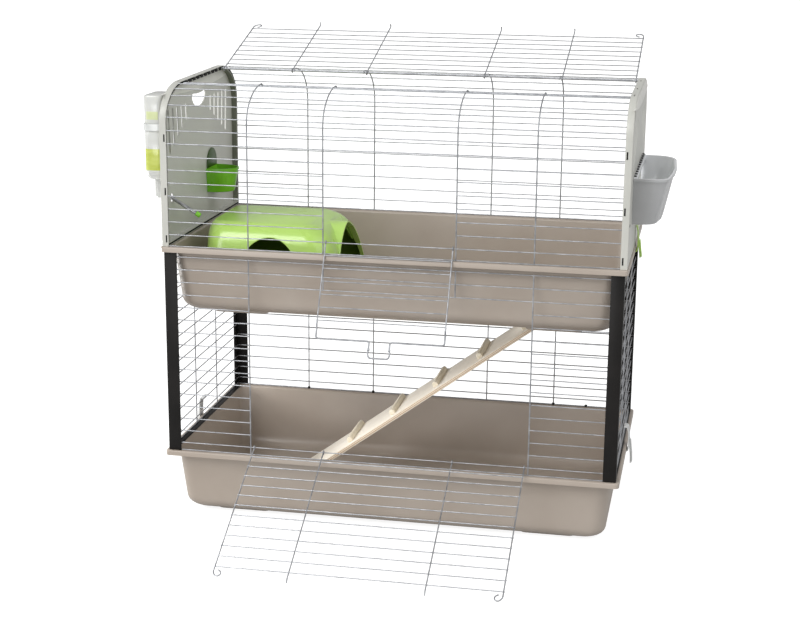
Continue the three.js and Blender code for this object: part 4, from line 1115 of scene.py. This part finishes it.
def plywood(add, link, shader, place):
    """Pale birch faces with a fine grain along the plank, and layered edges."""
    local = along_ramp(add, place)
    face, figure = two_tone(add, local, srgb(248, 238, 220), srgb(254, 248, 237), 16, (0.5, 7, 7), 6)
    parts = add("SeparateXYZ", {"Vector": local})
    layer = add("MapRange", {"Value": parts.outputs["Z"], "From Min": -0.010, "From Max": 0.0})
    bands = add("ValToRGB", {"Fac": layer.outputs["Result"]})
    ramp = bands.color_ramp
    ramp.interpolation = "CONSTANT"
    ramp.elements[0].color = srgb(242, 230, 210)
    ramp.elements[1].position = 0.3
    ramp.elements[1].color = srgb(198, 150, 104)
    for at, tone in ((0.42, (244, 232, 212)), (0.66, (206, 164, 120)), (0.76, (246, 235, 216))):
        ramp.elements.new(at).color = srgb(*tone)
    facing = add("NewGeometry")
    spun = add(
        "VectorRotate", {"Vector": facing.outputs["Normal"], "Angle": RAMP_SLOPE},
        rotation_type="Y_AXIS",
    )
    up = add("SeparateXYZ", {"Vector": spun.outputs["Vector"]})
    flat = add("Math", {0: up.outputs["Z"]}, operation="ABSOLUTE")
    is_face = add("Math", {0: flat.outputs["Value"], 1: 0.6}, operation="GREATER_THAN")
    colour = add(
        "Mix", {"Factor": is_face.outputs["Value"], "A": bands.outputs["Color"], "B": face},
        data_type="RGBA",
    )
    link(colour.outputs["Result"], shader.inputs["Base Color"])
    uneven_gloss(add, link, shader, figure, 0.5, 0.68)
    fibre = add("Mapping", {"Vector": local, "Scale": (1, 30, 30)})
    noise = add("TexNoise", {"Vector": fibre.outputs["Vector"], "Scale": 60, "Detail": 4})
    bump = add("Bump", {"Strength": 0.35, "Distance": 0.0004, "Height": noise.outputs["Fac"]})
    link(bump.outputs["Normal"], shader.inputs["Normal"])


def pine(add, link, shader, place):
    """Planed pine with grain along the cleat."""
    local = along_ramp(add, place)
    colour, figure = two_tone(add, local, srgb(236, 225, 200), srgb(247, 239, 220), 30, (6, 0.6, 6), 6)
    link(colour, shader.inputs["Base Color"])
    uneven_gloss(add, link, shader, figure, 0.5, 0.7)
    grain(add, link, shader, local, 700, 0.3)


ramp_plywood = material("birch_plywood", plywood)
cleat_pine = material("planed_pine", pine)
bright_steel = material("bright_steel", drawn_metal(
    (150, 151, 152), (190, 191, 192), 70, (0.22, 0.4), 1.0, 1800, 0.12,
))


def form_plank():
    bm = bmesh.new()
    verts = sunk_box(bm, (0, -RAMP_HALF, -RAMP_THICK), (ramp_length, RAMP_HALF, 0))
    rounded_edges(bm, verts, 0.7 * MM)
    bmesh.ops.transform(bm, matrix=on_ramp, verts=bm.verts[:])
    finish_piece("ramp_board", bm, ramp_plywood, "ramp", ["ramp_plank"])


def form_cleats():
    for number, at in enumerate(CLEAT_AT, start=1):
        low = CLEAT_SET_BACK - CLEAT_HALF
        outline = [(-6, 0.3), (6, 0.3), (6, 8), (3, 12), (-3, 12), (-6, 8)]
        bm = bmesh.new()
        placed = [(at + a * MM, low, b * MM) for a, b in outline]
        verts = drawn_outline(bm, placed, (0, 2 * CLEAT_HALF, 0))
        rounded_edges(bm, verts, 0.6 * MM)
        bmesh.ops.transform(bm, matrix=on_ramp, verts=bm.verts[:])
        finish_piece(f"cleat_{number}", bm, cleat_pine, "ramp", [f"ramp_cleat_{number}"])


def form_nails():
    """A nail's head at each end of every cleat, and two screws through the hook."""
    bm = bmesh.new()
    for at in CLEAT_AT:
        for y in (-50, 66):
            stud(bm, (at + 0.5 * MM, y * MM, 12 * MM), (0, 0, 1), 1.5 * MM, 0.8 * MM)
    for y in (-13, 13):
        head = stud(bm, (ramp_length - 17 * MM, y * MM, 2.9 * MM), (0, 0, 1), 3.4 * MM, 1.2 * MM, 20)
        rounded_edges(bm, head, 0.4 * MM)
    bmesh.ops.transform(bm, matrix=on_ramp, verts=bm.verts[:])
    finish_piece("ramp_nails", bm, bright_steel, "ramp")


def form_hook():
    """A flat steel strip bent over the collar, drawn by its middle line in (x, z)."""
    low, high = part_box("ramp_hook")
    end_z = plank_high.z
    lift = Vector((-math.sin(RAMP_SLOPE), math.cos(RAMP_SLOPE))) * 1.3 * MM
    end = Vector((320 * MM, end_z)) + lift
    start = end - Vector((math.cos(RAMP_SLOPE), math.sin(RAMP_SLOPE))) * 34 * MM
    inner = HATCH[1] - 3.4 * MM
    outer = high.x - MM
    top = high.z - MM
    path = [
        start, end, (inner, top - 6 * MM), (inner, top - 2 * MM), (inner + 1.2 * MM, top - 0.4 * MM),
        (inner + 2.4 * MM, top), (outer - 2.4 * MM, top), (outer - 0.8 * MM, top - 0.7 * MM),
        (outer, top - 2.4 * MM), (outer, top - 5 * MM),
    ]
    bm = bmesh.new()
    verts = [bm.verts.new((x, -HOOK_HALF, z)) for x, z in path]
    edges = [bm.edges.new(pair) for pair in zip(verts, verts[1:])]
    made = bmesh.ops.extrude_edge_only(bm, edges=edges)["geom"]
    bmesh.ops.translate(bm, verts=points_of(made), vec=(0, 2 * HOOK_HALF, 0))
    bmesh.ops.recalc_face_normals(bm, faces=bm.faces)
    bmesh.ops.solidify(bm, geom=bm.faces[:], thickness=2 * MM)
    bmesh.ops.recalc_face_normals(bm, faces=bm.faces)
    shift = Vector(((low.x + high.x) / 2, 0, (low.z + high.z) / 2))
    corners = [v.co for v in bm.verts]
    middle = Vector((
        (min(c.x for c in corners) + max(c.x for c in corners)) / 2, 0,
        (min(c.z for c in corners) + max(c.z for c in corners)) / 2,
    ))
    bmesh.ops.translate(bm, verts=bm.verts[:], vec=shift - middle)
    finish_piece(
        "ramp_strap", bm, bright_steel, "ramp", ["ramp_hook"], crease=50, recalc=False,
    )


form_plank()
form_cleats()
form_nails()
form_hook()

# ---------------------------------------------------------------- hide house
# A lime vacuum-formed shell stands loose in the upper tray. It has a flat top, a doorway
# in front, and a vaulted tunnel that runs out of its right end.

HOUSE = (314 * MM, 312 * MM, 182 * MM)
HOUSE_X = -277 * MM
HOUSE_Y = -46 * MM
HOUSE_CORNER = 53 * MM
HOUSE_WALL = 3 * MM
HOUSE_FOOT = UPPER_FLOOR + 0.3 * MM
TUNNEL_HALF = 132 * MM
TUNNEL_RISE = 175 * MM
TUNNEL_LIP = 14 * MM
TUNNEL_START = -270 * MM
HOUSE_END = -122 * MM
MOUTH_TURN = 0.04
MOUTH_LEAN = 0.085
MOUTH_DEEP = 13 * MM
ARCH_POWER = 1.22
DOORWAY = (-280 * MM, 60 * MM, 157 * MM)

lime_plastic = material("lime_plastic", moulded(
    (174, 212, 96), (184, 222, 112), rough=(0.22, 0.32), coat=0.7, scale=5, bump=0.08, bump_scale=700,
))
# A darker lime for the house's inner faces: painted shade.
painted_shade_lime = material("painted_shade_lime", moulded(
    (96, 134, 34), (108, 146, 42), rough=(0.4, 0.5), coat=0, scale=5, bump=0.1, bump_scale=700, shine=0.3,
))


def smooth_profile(rows, steps=3):
    """More rows between the given ones, along a smooth curve through them."""
    fine = []
    last = len(rows) - 1
    for i in range(last):
        p0, p1, p2, p3 = (rows[max(i - 1, 0)], rows[i], rows[i + 1], rows[min(i + 2, last)])
        for step in range(steps):
            t = step / steps
            fine.append(tuple(
                0.5 * (
                    2 * b + (c - a) * t + (2 * a - 5 * b + 4 * c - d) * t * t
                    + (3 * b - a - 3 * c + d) * t ** 3
                )
                for a, b, c, d in zip(p0, p1, p2, p3)
            ))
    return fine + [rows[-1]]


def house_shell(inset, foot):
    """The closed body of the house: [left lean, right lean, side lean, share of the height]."""
    profile = smooth_profile([
        (0, 0, 0, 0), (1, 6, 4, 0.34), (2, 16, 9, 0.62), (3, 32, 18, 0.82), (6, 52, 34, 0.94),
        (14, 80, 54, 1),
    ])
    rows = []
    for left, right, side, share in profile:
        z = HOUSE_FOOT + (HOUSE[2] - inset) * share if share > 0 else HOUSE_FOOT - foot
        rows.append((
            HOUSE[0] / 2 - inset - (left + right) / 2 * MM, HOUSE[1] / 2 - inset - side * MM,
            HOUSE_CORNER - inset - left * 2 * MM, z, HOUSE_X + (left - right) / 2 * MM, HOUSE_Y,
        ))
    bm = bmesh.new()
    closed_rows(bm, rows, 10)
    bmesh.ops.recalc_face_normals(bm, faces=bm.faces)
    return bm


def house_vault(inset, x0, x1, drop=0.0):
    """The tunnel: an arch with steep sides, its mouth turned and leaning back a little."""
    half = TUNNEL_HALF - inset
    rise = TUNNEL_RISE - inset
    outline = []
    for i in range(41):
        turn = math.pi * i / 40
        across = math.copysign(abs(math.cos(turn)) ** ARCH_POWER, math.cos(turn))
        outline.append((HOUSE_Y + half * across, HOUSE_FOOT + rise * math.sin(turn) ** ARCH_POWER))
    if drop:
        outline += [(HOUSE_Y - half, HOUSE_FOOT - drop), (HOUSE_Y + half, HOUSE_FOOT - drop)]
    bm = slab(outline, x0, x1)
    for vert in bm.verts:
        if abs(vert.co.x - x0) > abs(vert.co.x - x1) or x0 > TUNNEL_START:
            vert.co.x += MOUTH_TURN * (vert.co.y - HOUSE_Y) - MOUTH_LEAN * (vert.co.z - HOUSE_FOOT)
    return bm


def is_inside(point, tree):
    near, normal, _, _ = tree.find_nearest(point)
    return (point - near).dot(normal) < 0


def form_house():
    """The shell with its hooded mouth, front doorway, inner faces in a darker lime as painted shade, and
    doorway lip.
    """
    bm = worked(house_shell(0, 0), house_vault(0, TUNNEL_START, HOUSE_END), "UNION")
    bm = worked(bm, house_shell(HOUSE_WALL, 2 * MM))
    end = HOUSE_END - MOUTH_DEEP
    bm = worked(bm, house_vault(HOUSE_WALL, TUNNEL_START, end - HOUSE_WALL, 2 * MM))
    bm = worked(bm, house_vault(HOUSE_WALL, end, HOUSE_END + 2 * MM, 2 * MM))
    bm = worked(bm, house_vault(TUNNEL_LIP, TUNNEL_START, HOUSE_END, 2 * MM))
    middle, half, rise = DOORWAY
    arch = [(middle - half, HOUSE_FOOT - 2 * MM), (middle + half, HOUSE_FOOT - 2 * MM)]
    arch += arc(middle, HOUSE_FOOT + rise - half, half, half, 0, 180, 24)
    tool = bmesh.new()
    drawn_outline(tool, [(x, HOUSE_Y - 160 * MM, z) for x, z in arch], (0, 140 * MM, 0))
    bmesh.ops.recalc_face_normals(tool, faces=tool.faces)
    bm = worked(bm, tool)
    # Faces inside the shell take the darker lime in the second slot: painted shade for the dim interior.
    skins = [BVHTree.FromBMesh(house_shell(1.4 * MM, 5 * MM))]
    skins.append(BVHTree.FromBMesh(house_vault(1.4 * MM, TUNNEL_START, HOUSE_END - MM, 5 * MM)))
    for face in bm.faces:
        face.material_index = int(all(
            any(is_inside(vert.co, skin) for skin in skins) for vert in face.verts
        ))
    tree = BVHTree.FromBMesh(house_shell(0.6 * MM, 0))
    lip = []
    for x, z in arch[2:]:
        lip.append(tree.ray_cast(Vector((x, -0.3, z)), Vector((0, 1, 0)))[0])
    draw_wire(bm, lip, 2.6 * MM, 8)
    house = finish_piece(
        "house_shell", bm, lime_plastic, "house", ["hide_house"], crease=32, recalc=False,
    )
    house.data.materials.append(painted_shade_lime)


form_house()

# ---------------------------------------------------------------- feeder cup
# Half a round bowl of green plastic, with a rounded tongue of a deeper green that hangs it
# on the panel.

CUP_Y = 85 * MM
CUP_HALF = 40 * MM
CUP_REACH = 66 * MM
CUP_LOW = UPPER_RIM + 64 * MM
CUP_HIGH = UPPER_RIM + 120 * MM
CUP_WALL = 2.5 * MM
TONGUE_HIGH = UPPER_RIM + 164 * MM
TONGUE_HALF = 36 * MM

green_plastic = material("green_plastic", moulded(
    (110, 184, 30), (122, 196, 42), rough=(0.24, 0.34), coat=0.4, scale=12, bump=0.08, bump_scale=1200,
))
deep_green = material("deep_green", moulded(
    (48, 74, 22), (58, 86, 28), rough=(0.3, 0.4), coat=0.2, scale=12, bump=0.08, bump_scale=1200, shine=0.3,
))


def cup_ring(share, z, inset=0.0):
    half = CUP_HALF * share - inset
    reach = CUP_REACH * share - inset
    back = -PLATE_IN + 0.3 * MM
    curve = arc(back + inset + 8 * MM, CUP_Y, reach - inset - 8 * MM, half, -90, 90, 20)
    return [(x, y, z) for x, y in [(back + inset, CUP_Y - half)] + curve + [(back + inset, CUP_Y + half)]]


def loft_rings(bm, rings):
    """A closed skin through rings of points, each with as many points as the next."""
    loops = []
    for ring in rings:
        verts = [bm.verts.new(point) for point in ring]
        loops.append([bm.edges.new(pair) for pair in zip(verts, verts[1:] + verts[:1])])
    for one, other in zip(loops, loops[1:]):
        bmesh.ops.bridge_loops(bm, edges=one + other)
    for end in (loops[0], loops[-1]):
        bmesh.ops.edgeloop_fill(bm, edges=end)
    bmesh.ops.recalc_face_normals(bm, faces=bm.faces)


def form_cup():
    bm = bmesh.new()
    loft_rings(bm, [
        cup_ring(0.76, CUP_LOW), cup_ring(0.82, CUP_LOW + 1.2 * MM), cup_ring(0.85, CUP_LOW + 5 * MM),
        cup_ring(0.975, CUP_HIGH - 5 * MM), cup_ring(1, CUP_HIGH - 4.6 * MM), cup_ring(1, CUP_HIGH),
    ])
    tool = bmesh.new()
    loft_rings(tool, [
        cup_ring(0.8, CUP_LOW + CUP_WALL, CUP_WALL), cup_ring(0.85, CUP_LOW + 6 * MM, CUP_WALL),
        cup_ring(0.98, CUP_HIGH, CUP_WALL), cup_ring(0.98, CUP_HIGH + MM, CUP_WALL),
    ])
    bm = worked(bm, tool)
    back = -PLATE_IN + 0.3 * MM
    outline = [(CUP_Y - TONGUE_HALF, CUP_HIGH), (CUP_Y + TONGUE_HALF, CUP_HIGH)]
    outline += arc(CUP_Y, TONGUE_HIGH - TONGUE_HALF, TONGUE_HALF, TONGUE_HALF, 0, 180, 24)
    tongue = slab(outline, back, back + CUP_WALL, 0.8 * MM)
    finish_piece("cup_tongue", tongue, deep_green, "cup", recalc=False)
    finish_piece("cup_bowl", bm, green_plastic, "cup", ["feeder_cup"], recalc=False)


form_cup()

# ---------------------------------------------------------------- water bottle
# A flat bottle of cloudy plastic in a clear strap, with a bare pale green label and a small
# bare patch above it. A screw cap closes it, and a steel tube slants down through the panel.

BOTTLE_X = -520.1 * MM
BOTTLE_Y = -195 * MM
BOTTLE_HALF = (20 * MM, 44 * MM)
BOTTLE_CORNER = 12 * MM
BOTTLE_LOW = UPPER_RIM + 137 * MM
BOTTLE_HIGH = UPPER_RIM + 320 * MM
STRAP_LOW = UPPER_RIM + 245 * MM
STRAP_HIGH = STRAP_LOW + 15 * MM
STRAP_WALL = 2.5 * MM
CAP_LOW = UPPER_RIM + 95 * MM
CAP_RADIUS = 11.3 * MM
CAP_RIBS = 24
TUBE_DROP = math.radians(30)
LABEL = (UPPER_RIM + 160 * MM, UPPER_RIM + 206 * MM)


def cloudy_plastic(add, link, shader, place):
    """Cloudy plastic, with a bare printed label low on the bottle and a small one above."""
    body, drift = two_tone(add, place, srgb(206, 207, 203), srgb(217, 218, 214), 9)
    parts = add("SeparateXYZ", {"Vector": place})
    above = add("Math", {0: parts.outputs["Z"], 1: LABEL[0]}, operation="GREATER_THAN")
    below = add("Math", {0: parts.outputs["Z"], 1: LABEL[1]}, operation="LESS_THAN")
    inside = add("Math", {0: above.outputs["Value"], 1: below.outputs["Value"]}, operation="MULTIPLY")
    band, _ = two_tone(add, place, srgb(186, 196, 84), srgb(200, 209, 108), 30, (1, 1, 3))
    colour = add("Mix", {"Factor": inside.outputs["Value"], "A": body, "B": band}, data_type="RGBA")
    high_from = add("Math", {0: parts.outputs["Z"], 1: STRAP_HIGH + 9 * MM}, operation="GREATER_THAN")
    high_to = add("Math", {0: parts.outputs["Z"], 1: STRAP_HIGH + 26 * MM}, operation="LESS_THAN")
    patch = add("Math", {0: high_from.outputs["Value"], 1: high_to.outputs["Value"]}, operation="MULTIPLY")
    near = add("Math", {0: parts.outputs["X"], 1: BOTTLE_X + 13 * MM}, operation="LESS_THAN")
    far = add("Math", {0: parts.outputs["X"], 1: BOTTLE_X - 13 * MM}, operation="GREATER_THAN")
    across = add("Math", {0: near.outputs["Value"], 1: far.outputs["Value"]}, operation="MULTIPLY")
    small = add("Math", {0: patch.outputs["Value"], 1: across.outputs["Value"]}, operation="MULTIPLY")
    marked = add(
        "Mix",
        {"Factor": small.outputs["Value"], "A": colour.outputs["Result"], "B": srgb(214, 222, 172)},
        data_type="RGBA",
    )
    link(marked.outputs["Result"], shader.inputs["Base Color"])
    uneven_gloss(add, link, shader, drift, 0.16, 0.26)
    shader.inputs["Subsurface Weight"].default_value = 0.25
    shader.inputs["Subsurface Radius"].default_value = (0.01, 0.01, 0.008)
    shader.inputs["Subsurface Scale"].default_value = 1.0
    shader.inputs["Coat Weight"].default_value = 0.3
    grain(add, link, shader, place, 500, 0.08)


bottle_plastic = material("cloudy_bottle", cloudy_plastic)
strap_plastic = material("clear_strap", moulded(
    (208, 210, 208), (220, 222, 220), rough=(0.16, 0.24), coat=0.5, scale=20, bump=0.06, bump_scale=900,
))
cap_plastic = material("grey_cap", moulded(
    (202, 203, 200), (214, 215, 212), rough=(0.26, 0.36), coat=0.2, scale=30, bump=0.1, bump_scale=1500,
))


def bottle_rows(shares):
    return [
        (BOTTLE_HALF[0] * share, BOTTLE_HALF[1] * share, BOTTLE_CORNER * share, z, BOTTLE_X, BOTTLE_Y)
        for share, z in shares
    ]


def form_bottle():
    low = BOTTLE_LOW
    high = BOTTLE_HIGH
    bm = bmesh.new()
    closed_rows(bm, bottle_rows([
        (0.5, low), (0.56, low + 0.6 * MM), (0.68, low + 2.5 * MM), (0.8, low + 6 * MM), (0.9, low + 11 * MM),
        (0.97, low + 16 * MM), (1, low + 21 * MM), (1, STRAP_LOW - 3 * MM), (0.985, STRAP_LOW - MM),
        (0.985, STRAP_HIGH + MM), (1, STRAP_HIGH + 3 * MM), (1, high - 4 * MM), (0.99, high - 2 * MM),
        (0.96, high - 0.6 * MM), (0.92, high),
    ]))
    finish_piece("bottle_shell", bm, bottle_plastic, "bottle", ["bottle_body"])


def form_strap():
    bm = bmesh.new()
    gap = 0.3 * MM
    half_x = BOTTLE_HALF[0] + gap
    half_y = BOTTLE_HALF[1] + gap
    corner = BOTTLE_CORNER + gap
    wall = STRAP_WALL
    profile = [
        (0, STRAP_LOW), (wall - 0.6 * MM, STRAP_LOW), (wall, STRAP_LOW + 0.6 * MM),
        (wall, STRAP_HIGH - 0.6 * MM), (wall - 0.6 * MM, STRAP_HIGH), (0, STRAP_HIGH),
        (0, STRAP_LOW + 0.01 * MM),
    ]
    skin_rows(bm, [
        (half_x + out, half_y + out, corner + out, z, BOTTLE_X, BOTTLE_Y) for out, z in profile
    ])
    bmesh.ops.remove_doubles(bm, verts=bm.verts[:], dist=0.02 * MM)
    finish_piece("strap_band", bm, strap_plastic, "bottle", ["bottle_strap"])


def form_cap():
    """A screw cap with fine ribs round it."""
    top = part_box("bottle_cap")[1].z
    bm = bmesh.new()
    middle = (CAP_LOW + top) / 2
    stud(bm, (BOTTLE_X, BOTTLE_Y, middle), (0, 0, 1), CAP_RADIUS, top - CAP_LOW, 32)
    rounded_ends(bm, 2, MM, 2)
    out = CAP_RADIUS - 0.1 * MM
    for i in range(CAP_RIBS):
        turn = math.radians(360 / CAP_RIBS * i)
        place = (BOTTLE_X + out * math.cos(turn), BOTTLE_Y + out * math.sin(turn), middle)
        stud(bm, place, (0, 0, 1), 0.8 * MM, top - CAP_LOW - 5 * MM, 6)
    finish_piece("cap_screw", bm, cap_plastic, "bottle", ["bottle_cap"])


def form_tube():
    """The steel tube and the green ball holder at its tip."""
    start = Vector((-PANEL_OUT, BOTTLE_Y, TUBE_PLACE[1]))
    down = Matrix.Translation(start) @ Matrix.Rotation(TUBE_DROP, 4, "Y")
    back = (BOTTLE_X + 12 * MM + PANEL_OUT + 0.3 * MM + 4 * MM * math.sin(TUBE_DROP)) / math.cos(TUBE_DROP)
    bm = bmesh.new()
    draw_wire(bm, [(back, 0, 0), (64 * MM, 0, 0)], 8 * MM, 20)
    bmesh.ops.transform(bm, matrix=down, verts=bm.verts[:])
    finish_piece("tube_pipe", bm, bright_steel, "bottle", ["drinking_tube"])
    bm = bmesh.new()
    stud(bm, (69.8 * MM, 0, 0), (1, 0, 0), 5.5 * MM, 11 * MM, 24)
    rounded_ends(bm, 0, 1.6 * MM, 3)
    bmesh.ops.transform(bm, matrix=down, verts=bm.verts[:])
    finish_piece("tip_holder", bm, green_plastic, "bottle", ["tube_tip"])


form_bottle()
form_strap()
form_cap()
form_tube()

# ---------------------------------------------------------------- hay rack
# An open trough of smoky plastic hangs on the outside of the right panel. It is wider at
# the top, with a rim round its mouth and a pale rail with dark studs along its back. Its
# inner faces are made near-white as painted light.

RACK_BACK = PANEL_OUT + 0.3 * MM
RACK_Y = (-190 * MM, 142 * MM)
RACK_LOW = UPPER_RIM + 77 * MM
RACK_HIGH = UPPER_RIM + 177 * MM
RACK_TAPER = 22 * MM
RACK_WALL = 2.5 * MM
RACK_RIM = 6 * MM
RAIL_STUDS = 11


def smoky(add, link, shader, place):
    """Smoky plastic, with slow drifts in its tone."""
    colour, drift = two_tone(add, place, srgb(190, 191, 192), srgb(202, 203, 204), 8)
    link(colour, shader.inputs["Base Color"])
    uneven_gloss(add, link, shader, drift, 0.18, 0.3)
    shader.inputs["Transmission Weight"].default_value = 0.12
    shader.inputs["Coat Weight"].default_value = 0.3
    shader.inputs["Coat Roughness"].default_value = 0.12
    grain(add, link, shader, place, 600, 0.06)


smoky_plastic = material("smoky_plastic", smoky)
# Near-white plastic for the pale rail, and for the trough's inner faces as painted light.
pale_rail_and_painted_light = material("pale_rail_and_painted_light", moulded(
    (232, 234, 237), (240, 242, 245), rough=(0.18, 0.28), coat=0.5, scale=8, bump=0.06, bump_scale=600,
))


def rack_ring(z, taper, inset, flush=0.0):
    """The plan of the rack at a height, from its front corner at the panel round to the back."""
    low_y, high_y = RACK_Y
    draw = taper + inset
    front = arc(
        RACK_BACK + 72 * MM - draw - 30 * MM, low_y + 26 * MM + draw, 30 * MM, 26 * MM, -90, -12, 8,
    )
    bulge = [(RACK_BACK + 78.5 * MM - draw, -100 * MM), (RACK_BACK + 80.5 * MM - draw, -30 * MM)]
    rear = arc(
        RACK_BACK + 76 * MM - draw - 44 * MM, high_y - 56 * MM - draw, 44 * MM, 56 * MM, 0, 90, 10,
    )
    plan = [(RACK_BACK - flush, low_y + draw)] + front + bulge + rear + [(RACK_BACK - flush, high_y - draw)]
    return [(x, y, z) for x, y in plan]


def form_rack():
    bm = bmesh.new()
    loft_rings(bm, [
        rack_ring(RACK_LOW, RACK_TAPER + 3 * MM, 0), rack_ring(RACK_LOW + MM, RACK_TAPER + MM, 0),
        rack_ring(RACK_LOW + 3 * MM, RACK_TAPER - 0.6 * MM, 0), rack_ring(RACK_HIGH - RACK_RIM, 1.4 * MM, 0),
        rack_ring(RACK_HIGH - RACK_RIM + 0.4 * MM, -2 * MM, 0), rack_ring(RACK_HIGH - 0.8 * MM, -2.4 * MM, 0),
        rack_ring(RACK_HIGH, -1.6 * MM, 0),
    ])
    tool = bmesh.new()
    loft_rings(tool, [
        rack_ring(RACK_LOW + RACK_WALL, RACK_TAPER + 2 * MM, RACK_WALL, MM),
        rack_ring(RACK_LOW + RACK_WALL + 3 * MM, RACK_TAPER - MM, RACK_WALL, MM),
        rack_ring(RACK_HIGH + MM, 0, RACK_WALL, MM),
    ])
    bm = worked(bm, tool)
    # Faces inside the trough take the near-white material in the second slot: painted light on its inner
    # walls.
    skin = bmesh.new()
    loft_rings(skin, [
        rack_ring(RACK_LOW - MM, RACK_TAPER, 1.2 * MM),
        rack_ring(RACK_HIGH + MM, -0.4 * MM, 1.2 * MM),
    ])
    tree = BVHTree.FromBMesh(skin)
    for face in bm.faces:
        face.material_index = int(is_inside(face.calc_center_median(), tree))
    rack = finish_piece(
        "rack_trough", bm, smoky_plastic, "rack", ["hay_rack"], recalc=False,
    )
    rack.data.materials.append(pale_rail_and_painted_light)


def form_rack_rail():
    """A pale rail along the back edge, with a row of dark studs."""
    low_y, high_y = RACK_Y
    bm = bmesh.new()
    rail = sunk_box(
        bm, (RACK_BACK + 0.1 * MM, low_y + 3 * MM, RACK_HIGH - 8 * MM),
        (RACK_BACK + 8 * MM, high_y - 3 * MM, RACK_HIGH + 2.6 * MM),
    )
    rounded_edges(bm, rail, 0.6 * MM)
    finish_piece("rack_rail", bm, pale_rail_and_painted_light, "rack")
    bm = bmesh.new()
    for i in range(RAIL_STUDS):
        y = low_y + 10 * MM + (high_y - low_y - 20 * MM) * i / (RAIL_STUDS - 1)
        stud(bm, (RACK_BACK + 3.4 * MM, y, RACK_HIGH + 3.4 * MM), (0, 0, 1), 2.6 * MM, 3.6 * MM)
    finish_piece("rack_studs", bm, black_plastic, "rack")


form_rack()
form_rack_rail()

# ---------------------------------------------------------------- rim clips
# Four springy plastic clips turn on a bead under the rims. The lime ones hold the end
# panels down on the upper rim, the clear ones hold the side grilles on the lower one.

CLIP_HALF = 14 * MM
CLIP_THICK = 3 * MM
CLIP_BEAD = 1.6 * MM

clip_lime = material("clip_lime", moulded(
    (172, 208, 96), (184, 219, 112), rough=(0.22, 0.32), coat=0.4, scale=20, bump=0.08, bump_scale=1200,
))
clip_clear = material("clip_clear", moulded(
    (206, 208, 207), (221, 222, 221), rough=(0.16, 0.24), coat=0.5, scale=20, bump=0.06, bump_scale=1200,
))


def bent_strip(bm, side, path, half, thick):
    """A flat strip bent along a path in (x, z), drawn for the right side and then turned."""
    verts = [bm.verts.new((side * x, -half, z)) for x, z in path]
    edges = [bm.edges.new(pair) for pair in zip(verts, verts[1:])]
    made = bmesh.ops.extrude_edge_only(bm, edges=edges)["geom"]
    far = points_of(made)
    faces = list({face for vert in far for face in vert.link_faces})
    bmesh.ops.translate(bm, verts=far, vec=(0, 2 * half, 0))
    bmesh.ops.recalc_face_normals(bm, faces=faces)
    bmesh.ops.solidify(bm, geom=faces, thickness=thick)


def form_clip(node, side, rim, top, paint):
    low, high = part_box(node)
    bead_x = HALF_LENGTH - TRAY_WALL / 2
    bead_z = rim - LIP_DROP - 0.3 * MM - CLIP_BEAD
    lever_x = HALF_LENGTH + 1.6 * MM + CLIP_THICK / 2
    reach = min(abs(low.x), abs(high.x)) + 1.6 * MM
    foot = low.z
    bm = bmesh.new()
    lever = [
        (bead_x, bead_z), (lever_x - 2 * MM, bead_z), (lever_x - 0.4 * MM, bead_z + 0.8 * MM),
        (lever_x + 0.8 * MM, bead_z + 2.2 * MM), (lever_x + 1.5 * MM, bead_z + 4.4 * MM),
        (lever_x + 2.2 * MM, bead_z + 12 * MM), (lever_x + 2.3 * MM, (bead_z + top) / 2),
        (lever_x + 1.4 * MM, top - 14 * MM), (lever_x, top - 7 * MM), (lever_x - 0.8 * MM, top - 3 * MM),
        (lever_x * 0.6 + reach * 0.4, top - 1.2 * MM), (lever_x * 0.3 + reach * 0.7, top - 0.8 * MM),
        (reach, top - 1.2 * MM),
    ]
    bent_strip(bm, side, lever, CLIP_HALF, CLIP_THICK * 0.8)
    handle = [
        (lever_x + 2.3 * MM, (bead_z + top) / 2), (lever_x + 3.4 * MM, (bead_z + top) / 2 - 5 * MM),
        (lever_x + 6 * MM, bead_z + 2 * MM), (lever_x + 7.2 * MM, bead_z - 6 * MM), (lever_x + 8 * MM, foot),
    ]
    bent_strip(bm, side, handle, CLIP_HALF - 2 * MM, CLIP_THICK * 0.8)
    stud(bm, (side * bead_x, 0, bead_z), (0, 1, 0), CLIP_BEAD, 2 * CLIP_HALF, 14)
    for y in (-7, 0, 7):
        path = [(side * (x + 1.5 * MM), y * MM, z) for x, z in handle[1:]]
        draw_wire(bm, path, 1.6 * MM, 6)
    body = node.split("_")
    finish_piece(node + "_lever", bm, paint, f"clip_{body[0]}_{body[2]}", [node], crease=50)


upper_clip_top = UPPER_RIM + 46 * MM
lower_clip_top = row_z(2)
for side, word in ((-1, "left"), (1, "right")):
    form_clip("upper_clip_" + word, side, UPPER_RIM, upper_clip_top, clip_lime)
    form_clip("lower_clip_" + word, side, LOWER_RIM, lower_clip_top, clip_clear)
